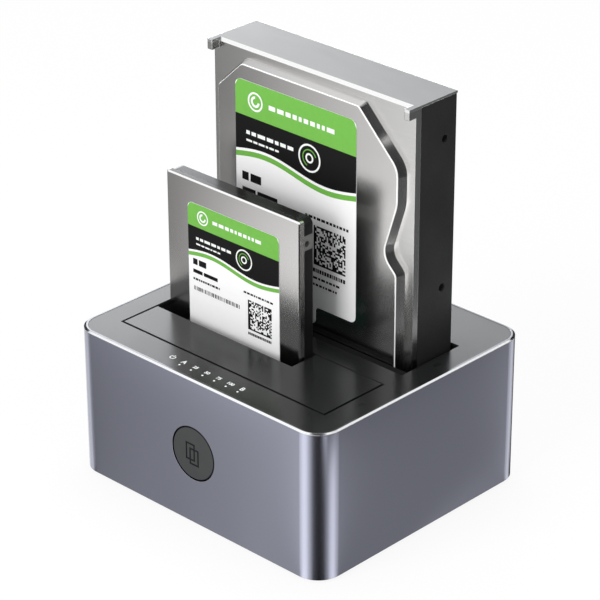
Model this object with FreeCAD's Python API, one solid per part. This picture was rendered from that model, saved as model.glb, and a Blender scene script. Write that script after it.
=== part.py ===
import FreeCAD, Part
import math
import os
from FreeCAD import Vector

# Dual-bay drive duplicator with a 3.5 inch drive in its rear bay and a 2.5 inch drive in its front bay.
# Millimetres. +Z is up, +X runs to the right along the front face, -Y is the front (button) side.
# The origin is the middle of the footprint, on the surface that the feet stand on.

X_AXIS = Vector(1, 0, 0)
Y_AXIS = Vector(0, 1, 0)
Z_AXIS = Vector(0, 0, 1)
TINY = 1e-6

# ---------------------------------------------------------------- fits
SCREW_PLAY = 0.02        # radial room of a screw, pin or pipe in its hole
RUNNING_PLAY = 0.05      # radial room of a bore that turns on its pin
PANEL_GAP = 0.10         # top panel, base plate and port panel to the shell
MOVE_GAP = 0.30          # least room between two bodies that move apart

# ---------------------------------------------------------------- housing
SHELL_W = 129.5
SHELL_D = 113.8
SHELL_H = 61.0
CORNER_R = 10.0
SHELL_WALL = 1.6
BAND_WIDTH = 0.85         # bright bevel round the top edge, seen from above
BAND_DROP = 0.55
FOOT_STAND = 1.2         # how far the feet hold the shell off the table
LEDGE_WIDTH = 1.2        # inner ledges that carry the top panel and the base plate
LEDGE_T = 1.5
PANEL_T = 2.0
PANEL_DROP = 0.1         # top panel below the shell's top edge
BASE_T = 2.0

SHELL_BOTTOM = FOOT_STAND
SHELL_TOP = SHELL_BOTTOM + SHELL_H
PANEL_TOP = SHELL_TOP - PANEL_DROP
PANEL_BOTTOM = PANEL_TOP - PANEL_T
BASE_TOP = SHELL_BOTTOM + BASE_T
FRONT_Y = -SHELL_D / 2
REAR_Y = SHELL_D / 2
FRONT_INSIDE = FRONT_Y + SHELL_WALL
REAR_INSIDE = REAR_Y - SHELL_WALL

# ---------------------------------------------------------------- drives (standard sizes)
LARGE_W = 101.6
LARGE_T = 26.1
LARGE_L = 147.0
LARGE_SATA_OFFSET = 20.68    # drive centre line to connector centre line
LARGE_X = 0.0                # drive centre line in the dock
SMALL_W = 69.85
SMALL_T = 7.0
SMALL_L = 100.35
SMALL_SATA_OFFSET = 9.40
SMALL_X = -16.5
SATA_FROM_BACK = 3.5         # connector centre line to the drive's back plane

# ---------------------------------------------------------------- bays
SLOT_HALF = 53.1             # half the length of a slot's mouth
FRONT_SLOT_Y = -42.2         # front edge of the front slot
REAR_SLOT_Y = -0.6           # front edge of the rear slot
SLOT_DEPTH = 31.5            # front edge to back edge of a slot
DRIVE_BACK_GAP = 1.0         # drive's back plane to the slot's back edge
SEAT_H = 17.1                # bay floor above the shell's lower edge
WELL_LIP = 0.3               # well is this much wider than the slot's mouth, each way
WELL_WALL = 1.5
WELL_FLOOR = 1.5
FLANGE_WIDTH = 2.5

SEAT_Z = SHELL_BOTTOM + SEAT_H
FRONT_SLOT_BACK = FRONT_SLOT_Y + SLOT_DEPTH
REAR_SLOT_BACK = REAR_SLOT_Y + SLOT_DEPTH
SMALL_Y = FRONT_SLOT_BACK - DRIVE_BACK_GAP - SMALL_T
LARGE_Y = REAR_SLOT_BACK - DRIVE_BACK_GAP - LARGE_T

# ---------------------------------------------------------------- flaps
FLAP_GAP = 0.30              # play of the hinge barrel and of the free edge in the slot
FLAP_SEAM = 0.60             # seam at the hinge side and at both ends of a closed flap
MOUTH_BEVEL = 0.40           # bevel round the upper edge of a slot's mouth
FLAP_T = 1.8
FLAP_AXIS_DROP = 2.3         # hinge axis below the flap's upper face
BARREL_R = 1.45
HINGE_PIN_R = 0.75
NOTCH_SIDE_GAP = 1.0         # right side of the 2.5 inch notch to that drive
NOTCH_FRONT_GAP = 5.3        # front side of the notch to that drive
FLAP_HALF = SLOT_HALF - FLAP_SEAM
HINGE_Z = PANEL_TOP - FLAP_AXIS_DROP
HINGE_FROM_EDGE = FLAP_GAP + BARREL_R
NOTCH_X = SMALL_X + SMALL_W / 2 + NOTCH_SIDE_GAP
NOTCH_REACH = SMALL_Y - NOTCH_FRONT_GAP - FRONT_SLOT_Y   # slot's front edge to the notch

SPRING_X = -46.0             # left end of the torsion spring's coil
SPRING_WIRE_R = 0.22
SPRING_COIL_R = 1.14
SPRING_PITCH = 0.75
SPRING_TURNS = 7
SPRING_LEG = 7.0
SPRING_KNEE_R = 0.27         # bead where a leg leaves the coil
SPRING_ROOM = 0.5            # free room at each end of the coil

# ---------------------------------------------------------------- SATA plug and socket
SATA_DATA = (-18.0, -7.6)    # ends of the data tongue, from the connector's centre
SATA_POWER = (-3.4, 17.2)    # ends of the power tongue
TONGUE_T = 1.2
TONGUE_KEY = 1.1             # length of the hook that keys each tongue
TONGUE_END = 0.6             # tongue's tip above the drive's end face
SOCKET_RISE = 4.6            # socket above the bay floor
SOCKET_WALL = 1.2
SOCKET_FOOT = 2.0            # how much longer the socket's foot is, each end
SHROUD_PLAY = 0.4
SHROUD_DEPTH = 5.2
PLUG_HALF_W = 22.6
PLUG_HALF_T = 2.9
PLUG_H = 8.0

# ---------------------------------------------------------------- boards
BOARD_T = 1.6
BOARD_Z = 11.4               # underside of the main board
BOARD_HALF_W = 50.0
BOARD_FRONT_Y = -40.0
BOARD_REAR_Y = 53.0
BOARD_TOP = BOARD_Z + BOARD_T
THIN_BOARD_T = 1.2

# ---------------------------------------------------------------- button
BUTTON_Z = SHELL_BOTTOM + 29.8
BUTTON_R = 10.7
BUTTON_GAP = 0.5
BUTTON_T = 2.4
BUTTON_FLANGE_R = 12.0
BUTTON_FLANGE_T = 1.0
BUTTON_EDGE = 0.3
BUTTON_TRAVEL = 1.0
BUTTON_BOARD_Y = -48.6       # front face of the button's circuit board
SWITCH_SIZE = 6.0
SWITCH_DEPTH = 3.5
PLUNGER_R = 1.7
STEM_R = 2.6
GUIDE_R = 12.4               # inside of the ring that guides the button's flange
GUIDE_WALL = 1.6
ICON_LINE = 0.75             # width of the engraved lines of the copy symbol
ICON_DEPTH = 0.2

# ---------------------------------------------------------------- indicators
INDICATORS = 6
INDICATOR_PITCH = 6.08
INDICATOR_X = -11.95
INDICATOR_Y = -51.5
PIPE_R = 0.42
LED_BOARD_Z = 50.0
LED_H = 0.8

# ---------------------------------------------------------------- rear ports
PORT_WINDOW = (-46.0, 46.0, 10.0, 34.0)      # x from, x to, z from, z to
PORT_RECESS = 1.0
PORT_PANEL_T = 2.0
PORT_FLANGE = 2.0
SWITCH_X = 32.0
SWITCH_Z = 22.0
JACK_X = 4.0
JACK_R = 3.2
JACK_PIN_R = 1.0
USB_X = -24.0
ROCKER_TILT = 9.0

# ---------------------------------------------------------------- fasteners
PILLAR_R = 3.2
PILLARS = [(-50.0, -50.4), (50.0, -50.4), (-57.0, 45.0), (57.0, 45.0)]
FEET = [(-48.0, -36.0), (48.0, -36.0), (-48.0, 36.0), (48.0, 36.0)]
FOOT_R = 5.0
FOOT_SINK = 0.8
BOARD_POSTS = [(-46.0, -34.0), (46.0, -34.0), (-46.0, 44.0), (46.0, 36.0)]
LUG_X = 58.3
LUG_T = 2.0
BOSS_H = 4.0
BOSS_R = 2.5
M2_R = 0.9
M25_R = 1.1
M2_HEAD = (1.8, 1.2)         # head radius, head height
M25_HEAD = (2.4, 1.3)


# ================================================================ plain shapes
def box(x0, x1, y0, y1, z0, z1):
    return Part.makeBox(x1 - x0, y1 - y0, z1 - z0, Vector(x0, y0, z0))


def rod(x, y, z, radius, length, axis=Z_AXIS):
    return Part.makeCylinder(radius, length, Vector(x, y, z), axis)


def runs_along(edge, axis):
    """True for a straight edge parallel to the axis."""
    if len(edge.Vertexes) < 2:
        return False
    way = edge.Vertexes[1].Point - edge.Vertexes[0].Point
    return way.Length > TINY and way.cross(axis).Length < TINY


def rounded(solid, radius, axis=Z_AXIS):
    """The solid with every straight edge along the axis filleted."""
    return solid.makeFillet(radius, [edge for edge in solid.Edges if runs_along(edge, axis)])


def joined(pieces):
    whole = pieces[0]
    for piece in pieces[1:]:
        whole = whole.fuse(piece)
    return whole.removeSplitter()


def less(solid, cutters):
    for cutter in cutters:
        solid = solid.cut(cutter)
    return solid


def group(pieces):
    return Part.makeCompound(pieces)


def house_outline(inset, z):
    """Rounded rectangle of the housing, drawn in by inset, as a wire at height z."""
    half_w = SHELL_W / 2 - inset
    half_d = SHELL_D / 2 - inset
    block = rounded(box(-half_w, half_w, -half_d, half_d, z, z + 1), CORNER_R - inset)
    floor = [face for face in block.Faces if abs(face.CenterOfMass.z - z) < TINY]
    return floor[0].OuterWire


def house_plate(inset, z0, z1):
    """Plate or block with the housing's rounded outline, drawn in by inset."""
    return Part.Face(house_outline(inset, z0)).extrude(Vector(0, 0, z1 - z0))


def screw(x, y, z, shank_r, length, head, way=Z_AXIS, recess=0.7):
    """Pan-head screw. (x, y, z) is the joint of head and shank, and way runs from there along the shank."""
    head_r, head_h = head
    solid = joined([rod(x, y, z, head_r, head_h, way * -1), rod(x, y, z, shank_r, length, way)])
    outer = Vector(x, y, z) - way * head_h
    bar = head_r * 1.2
    for turn in (0, 90):
        slot = box(-bar / 2, bar / 2, -0.25, 0.25, 0, recess)
        slot.rotate(Vector(0, 0, 0), Z_AXIS, turn)
        slot.Placement = FreeCAD.Placement(outer, FreeCAD.Rotation(Z_AXIS, way)).multiply(slot.Placement)
        solid = solid.cut(slot)
    return solid


# ================================================================ housing
def outer_shell():
    """Extruded aluminium sleeve with a bevelled top edge, two inner ledges and its openings."""
    bevel_z = SHELL_TOP - BAND_DROP
    bevel = Part.makeLoft([house_outline(0, bevel_z), house_outline(BAND_WIDTH, SHELL_TOP)], True, True)
    sleeve = joined([house_plate(0, SHELL_BOTTOM, bevel_z), bevel])
    sleeve = sleeve.cut(house_plate(SHELL_WALL, SHELL_BOTTOM, SHELL_TOP))
    for ledge_z in (BASE_TOP, PANEL_BOTTOM - LEDGE_T):
        ledge = house_plate(SHELL_WALL - TINY, ledge_z, ledge_z + LEDGE_T)
        ledge = ledge.cut(house_plate(SHELL_WALL + LEDGE_WIDTH, ledge_z, ledge_z + LEDGE_T))
        sleeve = sleeve.fuse(ledge)
    button_hole = rod(0, FRONT_Y - 1, BUTTON_Z, BUTTON_R + BUTTON_GAP, SHELL_WALL + 2, Y_AXIS)
    return less(sleeve, [button_hole, port_window(REAR_INSIDE - 1, REAR_Y + 1, 0)]).removeSplitter()


def port_window(y0, y1, grow):
    """Rounded block of the rear window, grown all round, from y0 to y1."""
    x0, x1, z0, z1 = PORT_WINDOW
    return rounded(box(x0 - grow, x1 + grow, y0, y1, z0 - grow, z1 + grow), 3.0, Y_AXIS)


def slot_mouth(slot_y):
    return box(-SLOT_HALF, SLOT_HALF, slot_y, slot_y + SLOT_DEPTH, PANEL_BOTTOM - 1, PANEL_TOP + 1)


def mouth_flare(slot_y):
    """Cutter for the bevel round a slot's mouth: a block whose lower edges are cut at 45 degrees."""
    reach = MOUTH_BEVEL + 1
    block = box(-SLOT_HALF - reach, SLOT_HALF + reach, slot_y - reach, slot_y + SLOT_DEPTH + reach,
                PANEL_TOP - MOUTH_BEVEL, PANEL_TOP + 2)
    lower = [edge for edge in block.Edges if edge.BoundBox.ZMax < PANEL_TOP]
    return block.makeChamfer(reach, lower)


def lug_places():
    """Centres of the screw lugs: one at each end of each well."""
    return [(side * LUG_X, slot_y + SLOT_DEPTH / 2)
            for slot_y in (FRONT_SLOT_Y, REAR_SLOT_Y) for side in (-1, 1)]


def indicator_places():
    return [INDICATOR_X + INDICATOR_PITCH * number for number in range(INDICATORS)]


LED_BOARD_X = (-30.0, 36.5)
LED_BOARD_Y = (-54.6, -47.2)
LED_SCREWS = [-26.5, 33.0]
LED_SCREW_Y = -50.9


def top_panel():
    """Lid with both slots, the indicator holes, four long screw pillars and short bosses below."""
    plate = house_plate(SHELL_WALL + PANEL_GAP, PANEL_BOTTOM, PANEL_TOP)
    pillars = [rod(x, y, BASE_TOP, PILLAR_R, PANEL_BOTTOM - BASE_TOP) for x, y in PILLARS]
    bosses = [rod(x, y, PANEL_BOTTOM - BOSS_H, BOSS_R, BOSS_H) for x, y in lug_places()]
    led_top = LED_BOARD_Z + THIN_BOARD_T
    bosses += [rod(x, LED_SCREW_Y, led_top, BOSS_R, PANEL_BOTTOM - led_top) for x in LED_SCREWS]
    panel = joined([plate] + pillars + bosses)
    holes = [cut(slot_y) for cut in (slot_mouth, mouth_flare) for slot_y in (FRONT_SLOT_Y, REAR_SLOT_Y)]
    holes += [hinge_bore(FRONT_SLOT_Y), hinge_bore(REAR_SLOT_Y)]
    holes += [rod(x, INDICATOR_Y, PANEL_BOTTOM - 1, PIPE_R + SCREW_PLAY, PANEL_T + 2)
              for x in indicator_places()]
    holes += [rod(x, y, BASE_TOP - 1, M25_R + SCREW_PLAY, 12) for x, y in PILLARS]
    holes += [rod(x, y, PANEL_BOTTOM - BOSS_H - 1, M2_R + SCREW_PLAY, BOSS_H + 1.5) for x, y in lug_places()]
    holes += [rod(x, LED_SCREW_Y, led_top - 1, M2_R + SCREW_PLAY, 6) for x in LED_SCREWS]
    return less(panel, holes)


def base_plate():
    """Floor with recesses for the feet, countersunk screw holes and posts for the main board."""
    plate = house_plate(SHELL_WALL + PANEL_GAP, SHELL_BOTTOM, BASE_TOP)
    posts = [rod(x, y, BASE_TOP - TINY, 3.0, BOARD_Z - BASE_TOP + TINY) for x, y in BOARD_POSTS]
    floor = joined([plate] + posts)
    holes = [rod(x, y, SHELL_BOTTOM - 1, FOOT_R + 0.2, FOOT_SINK + 1) for x, y in FEET]
    holes += [rod(x, y, SHELL_BOTTOM - 1, M25_R + SCREW_PLAY, BASE_T + 2) for x, y in PILLARS]
    holes += [rod(x, y, SHELL_BOTTOM - 1, M25_HEAD[0] + 0.2, M25_HEAD[1] + 1) for x, y in PILLARS]
    holes += [rod(x, y, BOARD_Z - 5, M2_R + SCREW_PLAY, 6) for x, y in BOARD_POSTS]
    for x in range(-30, 31, 6):
        holes.append(rounded(box(x - 1, x + 1, -14, 14, SHELL_BOTTOM - 1, BASE_TOP + 1), 0.9))
    return less(floor, holes)


def rubber_feet():
    feet = []
    for x, y in FEET:
        foot = rod(x, y, 0, FOOT_R, FOOT_STAND + FOOT_SINK)
        lower = [edge for edge in foot.Edges if edge.CenterOfMass.z < TINY]
        feet.append(foot.makeFillet(0.4, lower))
    return group(feet)


def base_screws():
    seat_z = SHELL_BOTTOM + M25_HEAD[1]
    return group([screw(x, y, seat_z, M25_R, 9.0, M25_HEAD) for x, y in PILLARS])


def well_screws():
    seat_z = PANEL_BOTTOM - BOSS_H - LUG_T
    return group([screw(x, y, seat_z, M2_R, LUG_T + 3.6, M2_HEAD) for x, y in lug_places()])


# ================================================================ bays
def slot_well(slot_y, drive_y, drive_t, drive_x, sata_offset):
    """Moulded tray below a slot: four walls, a floor with the socket's opening, a flange and two lugs."""
    half = SLOT_HALF + WELL_LIP
    y0 = slot_y - WELL_LIP
    y1 = slot_y + SLOT_DEPTH + WELL_LIP
    out = WELL_WALL
    tray = box(-half - out, half + out, y0 - out, y1 + out, SEAT_Z - WELL_FLOOR, PANEL_BOTTOM)
    rim = out + FLANGE_WIDTH
    flange = box(-half - rim, half + rim, y0 - rim, y1 + rim, PANEL_BOTTOM - 1.2, PANEL_BOTTOM)
    lug_top = PANEL_BOTTOM - BOSS_H
    lugs = []
    for side in (-1, 1):
        ends = sorted((side * (half + out - 0.5), side * (LUG_X + 3.0)))
        middle = slot_y + SLOT_DEPTH / 2
        lugs.append(box(ends[0], ends[1], middle - 3.5, middle + 3.5, lug_top - LUG_T, lug_top))
    tray = joined([tray, flange] + lugs)
    socket_y = drive_y + drive_t - SATA_FROM_BACK
    sx0, sx1, sy0, sy1 = socket_outline(drive_x - sata_offset, socket_y, SHROUD_PLAY)
    cutters = [box(-half, half, y0, y1, SEAT_Z, PANEL_BOTTOM + 1),
               box(sx0, sx1, sy0, sy1, SEAT_Z - WELL_FLOOR - 1, SEAT_Z + 1),
               hinge_bore(slot_y)]
    cutters += [rod(side * LUG_X, slot_y + SLOT_DEPTH / 2, lug_top - LUG_T - 1, M2_R + SCREW_PLAY, LUG_T + 2)
                for side in (-1, 1)]
    cutters += [rod(side * LUG_X, slot_y + SLOT_DEPTH / 2, lug_top, BOSS_R + 0.3, BOSS_H + 1)
                for side in (-1, 1)]
    return less(tray, cutters)


BUTTON_POSTS = [-9.0, 9.0]
BUTTON_BOARD_HALF = 14.6


def front_slot_well():
    """Front bay, with two stand-offs on its front wall for the button's circuit board."""
    well = slot_well(FRONT_SLOT_Y, SMALL_Y, SMALL_T, SMALL_X, SMALL_SATA_OFFSET)
    wall_y = FRONT_SLOT_Y - WELL_LIP - WELL_WALL
    back_y = BUTTON_BOARD_Y + THIN_BOARD_T
    posts = [rod(x, back_y, BUTTON_Z, BOSS_R, wall_y - back_y + TINY, Y_AXIS) for x in BUTTON_POSTS]
    well = joined([well] + posts)
    holes = [rod(x, back_y - 1, BUTTON_Z, M2_R + SCREW_PLAY, 4.2, Y_AXIS) for x in BUTTON_POSTS]
    return less(well, holes)


def rear_slot_well():
    return slot_well(REAR_SLOT_Y, LARGE_Y, LARGE_T, LARGE_X, LARGE_SATA_OFFSET)


# ================================================================ flaps
def flap_blank(slot_y):
    """Closed L-shaped flap: a strip over the whole slot and a leg beside the 2.5 inch notch."""
    y0 = slot_y + FLAP_SEAM
    y1 = slot_y + SLOT_DEPTH - FLAP_GAP
    under = PANEL_TOP - FLAP_T
    strip = box(-FLAP_HALF, FLAP_HALF, y0, slot_y + NOTCH_REACH, under, PANEL_TOP)
    leg = box(NOTCH_X, FLAP_HALF, y0, y1, under, PANEL_TOP)
    hinge_y = slot_y + HINGE_FROM_EDGE
    barrel = rod(-FLAP_HALF, hinge_y, HINGE_Z, BARREL_R, 2 * FLAP_HALF, X_AXIS)
    flap = joined([strip, leg, barrel])
    pocket_x = SPRING_X - SPRING_ROOM
    pocket_w = spring_length(90.0)[1] + 2 * SPRING_ROOM
    pocket_r = SPRING_COIL_R + SPRING_WIRE_R + 0.2
    cutters = [rod(-FLAP_HALF - 1, hinge_y, HINGE_Z, HINGE_PIN_R + RUNNING_PLAY, 2 * FLAP_HALF + 2, X_AXIS),
               rod(pocket_x, hinge_y, HINGE_Z, pocket_r, pocket_w, X_AXIS),
               box(pocket_x, pocket_x + pocket_w, hinge_y - pocket_r, hinge_y + SPRING_LEG + 1,
                   HINGE_Z - pocket_r, HINGE_Z + pocket_r)]
    return less(flap, cutters)


def rear_fold():
    """Angle at which the folded rear flap's free edge stands MOVE_GAP off the drive's face."""
    face_y = REAR_SLOT_Y + HINGE_FROM_EDGE + FLAP_AXIS_DROP
    reach = SLOT_DEPTH - FLAP_GAP - HINGE_FROM_EDGE
    return 90.0 - math.degrees(math.asin((LARGE_Y - MOVE_GAP - face_y) / reach))


def folded(solid, slot_y, angle):
    """The solid swung down into the bay by the angle, about the slot's hinge axis."""
    turned = solid.copy()
    turned.rotate(Vector(0, slot_y + HINGE_FROM_EDGE, HINGE_Z), X_AXIS, -angle)
    return turned


def hinge_pin(slot_y):
    half = SLOT_HALF + WELL_LIP + WELL_WALL
    return rod(-half, slot_y + HINGE_FROM_EDGE, HINGE_Z, HINGE_PIN_R, 2 * half, X_AXIS)


def hinge_bore(slot_y):
    """Groove for a hinge pin's ends, half in the well's top edge and half in the lid's underside."""
    half = SLOT_HALF + WELL_LIP + WELL_WALL + SCREW_PLAY
    return rod(-half, slot_y + HINGE_FROM_EDGE, HINGE_Z, HINGE_PIN_R + SCREW_PLAY, 2 * half, X_AXIS)


def spring_length(flap_angle):
    """Turns and length of a closing spring's coil, which winds up as its flap folds down."""
    turns = SPRING_TURNS + (90.0 + flap_angle) / 360.0
    return turns, turns * SPRING_PITCH


def torsion_spring(slot_y, flap_angle):
    """Closing spring round the hinge pin: one leg down the well's front wall, one leg in the flap.

    It is drawn with its coil going up Z and then turned, so that its x, y and z run along
    -Y, +Z and -X.
    """
    turns, length = spring_length(flap_angle)
    helix = Part.makeHelix(SPRING_PITCH, length, SPRING_COIL_R)
    profile = Part.Wire(Part.makeCircle(SPRING_WIRE_R, Vector(SPRING_COIL_R, 0, 0), Y_AXIS))
    pieces = [Part.Wire(helix.Edges).makePipeShell([profile], True, True)]
    for angle, z, way in ((0.0, 0.0, -1), (math.radians(360.0 * turns), length, 1)):
        end = Vector(math.cos(angle), math.sin(angle), 0) * SPRING_COIL_R + Vector(0, 0, z)
        ahead = Vector(-math.sin(angle), math.cos(angle), 0) * way
        pieces.append(Part.makeSphere(SPRING_KNEE_R, end))
        pieces.append(Part.makeCylinder(SPRING_WIRE_R, SPRING_LEG, end, ahead))
    spring = joined(pieces)
    spring.rotate(Vector(0, 0, 0), Vector(1, -1, -1), 120)
    spring.translate(Vector(SPRING_X + length, slot_y + HINGE_FROM_EDGE, HINGE_Z))
    return spring


# ================================================================ SATA plug and socket
def socket_outline(x, y, grow):
    """Outline of the socket's raised holder, as x from, x to, y from, y to."""
    room = TONGUE_T / 2 + MOVE_GAP + SOCKET_WALL
    return (x + SATA_DATA[0] - MOVE_GAP - SOCKET_WALL - grow,
            x + SATA_POWER[1] + MOVE_GAP + SOCKET_WALL + grow,
            y - room - grow, y + room + TONGUE_KEY + grow - SOCKET_WALL / 2)


def tongue_prisms(x, y, z0, z1, grow):
    """The data and power tongues with their key hooks, grown all round, from z0 to z1."""
    prisms = []
    for start, end in (SATA_DATA, SATA_POWER):
        half = TONGUE_T / 2 + grow
        bar = box(x + start - grow, x + end + grow, y - half, y + half, z0, z1)
        key_x = x + start
        key = box(key_x - grow, key_x + TONGUE_T + grow, y - half, y + half + TONGUE_KEY - 0.4, z0, z1)
        prisms.append(joined([bar, key]))
    return prisms


def sata_socket(x, y):
    """Upright socket on the main board: a foot and a raised holder with two keyed slots."""
    x0, x1, y0, y1 = socket_outline(x, y, 0)
    top = SEAT_Z + SOCKET_RISE
    foot = box(x0 - SOCKET_FOOT, x1 + SOCKET_FOOT, y0 - 0.6, y1 + 0.6, BOARD_TOP, SEAT_Z - WELL_FLOOR - 0.3)
    holder = box(x0, x1, y0, y1, BOARD_TOP, top)
    return less(joined([foot, holder]), tongue_prisms(x, y, SEAT_Z - 0.5, top + 1, MOVE_GAP))


def plug_block(x, y, z0):
    return box(x - PLUG_HALF_W, x + PLUG_HALF_W, y - PLUG_HALF_T, y + PLUG_HALF_T, z0, z0 + PLUG_H)


def sata_plug(x, y):
    """Moulded plug in a drive's lower end: a shroud with the two keyed tongues inside."""
    x0, x1, y0, y1 = socket_outline(x, y, SHROUD_PLAY)
    shroud = plug_block(x, y, SEAT_Z).cut(box(x0, x1, y0, y1, SEAT_Z - 1, SEAT_Z + SHROUD_DEPTH))
    return joined([shroud] + tongue_prisms(x, y, SEAT_Z + TONGUE_END, SEAT_Z + SHROUD_DEPTH + TINY, 0))


FRONT_SOCKET = (SMALL_X - SMALL_SATA_OFFSET, SMALL_Y + SMALL_T - SATA_FROM_BACK)
REAR_SOCKET = (LARGE_X - LARGE_SATA_OFFSET, LARGE_Y + LARGE_T - SATA_FROM_BACK)


# ================================================================ button
def clone_button():
    """Round cap flush with the front face, with a retaining flange, a stem and an engraved copy symbol."""
    cap = rod(0, FRONT_Y, BUTTON_Z, BUTTON_R, BUTTON_T, Y_AXIS)
    rim = [edge for edge in cap.Edges if abs(edge.CenterOfMass.y - FRONT_Y) < TINY]
    cap = cap.makeChamfer(BUTTON_EDGE, rim)
    flange_y = FRONT_INSIDE + MOVE_GAP
    flange = rod(0, flange_y, BUTTON_Z, BUTTON_FLANGE_R, BUTTON_FLANGE_T, Y_AXIS)
    stem_y = BUTTON_BOARD_Y - SWITCH_DEPTH - BUTTON_TRAVEL - MOVE_GAP
    stem = rod(0, FRONT_Y + 1, BUTTON_Z, STEM_R, stem_y - FRONT_Y - 1, Y_AXIS)
    button = joined([cap, flange, stem])
    return less(button, icon_grooves())


ICON_UPPER_SHEET = (-3.9, 0.95, -3.25, 4.1)    # left, right, lower, upper, from the button's centre
ICON_LOWER_SHEET = (-1.95, 2.95, -4.95, 2.15)


def frame_strips(sheet):
    """The four sides of a sheet's outline, as flat boxes sunk into the button's face."""
    x0, x1, z0, z1 = sheet
    w = ICON_LINE
    sides = [(x0, x1, z0, z0 + w), (x0, x1, z1 - w, z1), (x0, x0 + w, z0, z1), (x1 - w, x1, z0, z1)]
    return [box(a, b, FRONT_Y - 1, FRONT_Y + ICON_DEPTH, BUTTON_Z + c, BUTTON_Z + d) for a, b, c, d in sides]


def icon_grooves():
    """Engraved outlines of two sheets that overlap, one higher on the left, one lower on the right."""
    return frame_strips(ICON_UPPER_SHEET) + frame_strips(ICON_LOWER_SHEET)


def button_plunger():
    """Plunger of the push switch, which the stem presses and which rides in the switch's body."""
    y1 = BUTTON_BOARD_Y - SWITCH_DEPTH
    y0 = y1 - BUTTON_TRAVEL - MOVE_GAP
    return rod(0, y0, BUTTON_Z, PLUNGER_R, y1 + 1.0 - y0, Y_AXIS)


def button_switch():
    """Square body of the push switch, with a bore deep enough for the pressed plunger."""
    half = SWITCH_SIZE / 2
    y0 = BUTTON_BOARD_Y - SWITCH_DEPTH
    body = box(-half, half, y0, BUTTON_BOARD_Y, BUTTON_Z - half, BUTTON_Z + half)
    bore = rod(0, y0 - 1, BUTTON_Z, PLUNGER_R + RUNNING_PLAY, 1 + 1.0 + BUTTON_TRAVEL + MOVE_GAP, Y_AXIS)
    return body.cut(bore)


def button_guide():
    """Ring between the shell and the button's board, round the button's flange."""
    length = BUTTON_BOARD_Y - FRONT_INSIDE
    ring = rod(0, FRONT_INSIDE, BUTTON_Z, GUIDE_R + GUIDE_WALL, length, Y_AXIS)
    ring = ring.cut(rod(0, FRONT_INSIDE - 1, BUTTON_Z, GUIDE_R, length + 2, Y_AXIS))
    return ring


def button_board():
    half = BUTTON_BOARD_HALF
    board = rounded(box(-half, half, BUTTON_BOARD_Y, BUTTON_BOARD_Y + THIN_BOARD_T,
                        BUTTON_Z - half, BUTTON_Z + half), 2.0, Y_AXIS)
    holes = [rod(x, BUTTON_BOARD_Y - 1, BUTTON_Z, M2_R + SCREW_PLAY, THIN_BOARD_T + 2, Y_AXIS)
             for x in BUTTON_POSTS]
    return less(board, holes)


# ================================================================ indicators
def indicator_light_pipes():
    """Six clear pipes from the lid's face down to the lamps, each with a collar under the lid."""
    low = LED_BOARD_Z + THIN_BOARD_T + LED_H + 0.2
    pipes = []
    for x in indicator_places():
        pipe = rod(x, INDICATOR_Y, low, PIPE_R, PANEL_TOP - low)
        collar = rod(x, INDICATOR_Y, PANEL_BOTTOM - 1.0, PIPE_R + 0.5, 1.0)
        pipes.append(joined([pipe, collar]))
    return group(pipes)


def indicator_leds():
    z0 = LED_BOARD_Z + THIN_BOARD_T
    return group([box(x - 0.8, x + 0.8, INDICATOR_Y - 0.6, INDICATOR_Y + 0.6, z0, z0 + LED_H)
                  for x in indicator_places()])


def indicator_board():
    board = box(LED_BOARD_X[0], LED_BOARD_X[1], LED_BOARD_Y[0], LED_BOARD_Y[1],
                LED_BOARD_Z, LED_BOARD_Z + THIN_BOARD_T)
    holes = [rod(x, LED_SCREW_Y, LED_BOARD_Z - 1, M2_R + SCREW_PLAY, THIN_BOARD_T + 2) for x in LED_SCREWS]
    return less(board, holes)


def small_board_screws():
    """Screws of the indicator board, from below, and of the button board, from the front."""
    screws = [screw(x, LED_SCREW_Y, LED_BOARD_Z, M2_R, THIN_BOARD_T + 4.5, M2_HEAD) for x in LED_SCREWS]
    screws += [screw(x, BUTTON_BOARD_Y, BUTTON_Z, M2_R, THIN_BOARD_T + 3.0, (0.9 * M2_HEAD[0], 1.0), Y_AXIS)
               for x in BUTTON_POSTS]
    return group(screws)


# ================================================================ main board
def main_board():
    board = rounded(box(-BOARD_HALF_W, BOARD_HALF_W, BOARD_FRONT_Y, BOARD_REAR_Y, BOARD_Z, BOARD_TOP), 2.0)
    return less(board, [rod(x, y, BOARD_Z - 1, M2_R + SCREW_PLAY, BOARD_T + 2) for x, y in BOARD_POSTS])


CHIPS = [(4.0, -28.0, 12.0, 12.0, 1.2), (24.0, -22.0, 6.0, 5.0, 1.6), (30.0, 8.0, 9.0, 9.0, 1.0),
         (12.0, 14.0, 5.0, 4.0, 1.5), (-34.0, 8.0, 6.0, 5.0, 1.6), (-30.0, -30.0, 8.0, 5.3, 1.7)]
CAPACITORS = [(-38.0, 40.0), (-30.0, 42.0), (-10.0, 46.0)]
COILS = [(-20.0, 38.0), (14.0, 37.0)]


def board_chips():
    """Bridge chip, flash chip and regulators, as x, y, width, depth and height on the board."""
    chips = []
    for x, y, w, d, h in CHIPS:
        chips.append(box(x - w / 2, x + w / 2, y - d / 2, y + d / 2, BOARD_TOP, BOARD_TOP + h))
    return group(chips)


def board_capacitors():
    cans = [rod(x, y, BOARD_TOP, 3.15, 7.0) for x, y in CAPACITORS]
    cans += [rounded(box(x - 3.5, x + 3.5, y - 3.5, y + 3.5, BOARD_TOP, BOARD_TOP + 3.5), 1.0)
             for x, y in COILS]
    return group(cans)


def main_board_screws():
    return group([screw(x, y, BOARD_TOP, M2_R, BOARD_T + 4.0, M2_HEAD, Z_AXIS * -1) for x, y in BOARD_POSTS])


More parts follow.
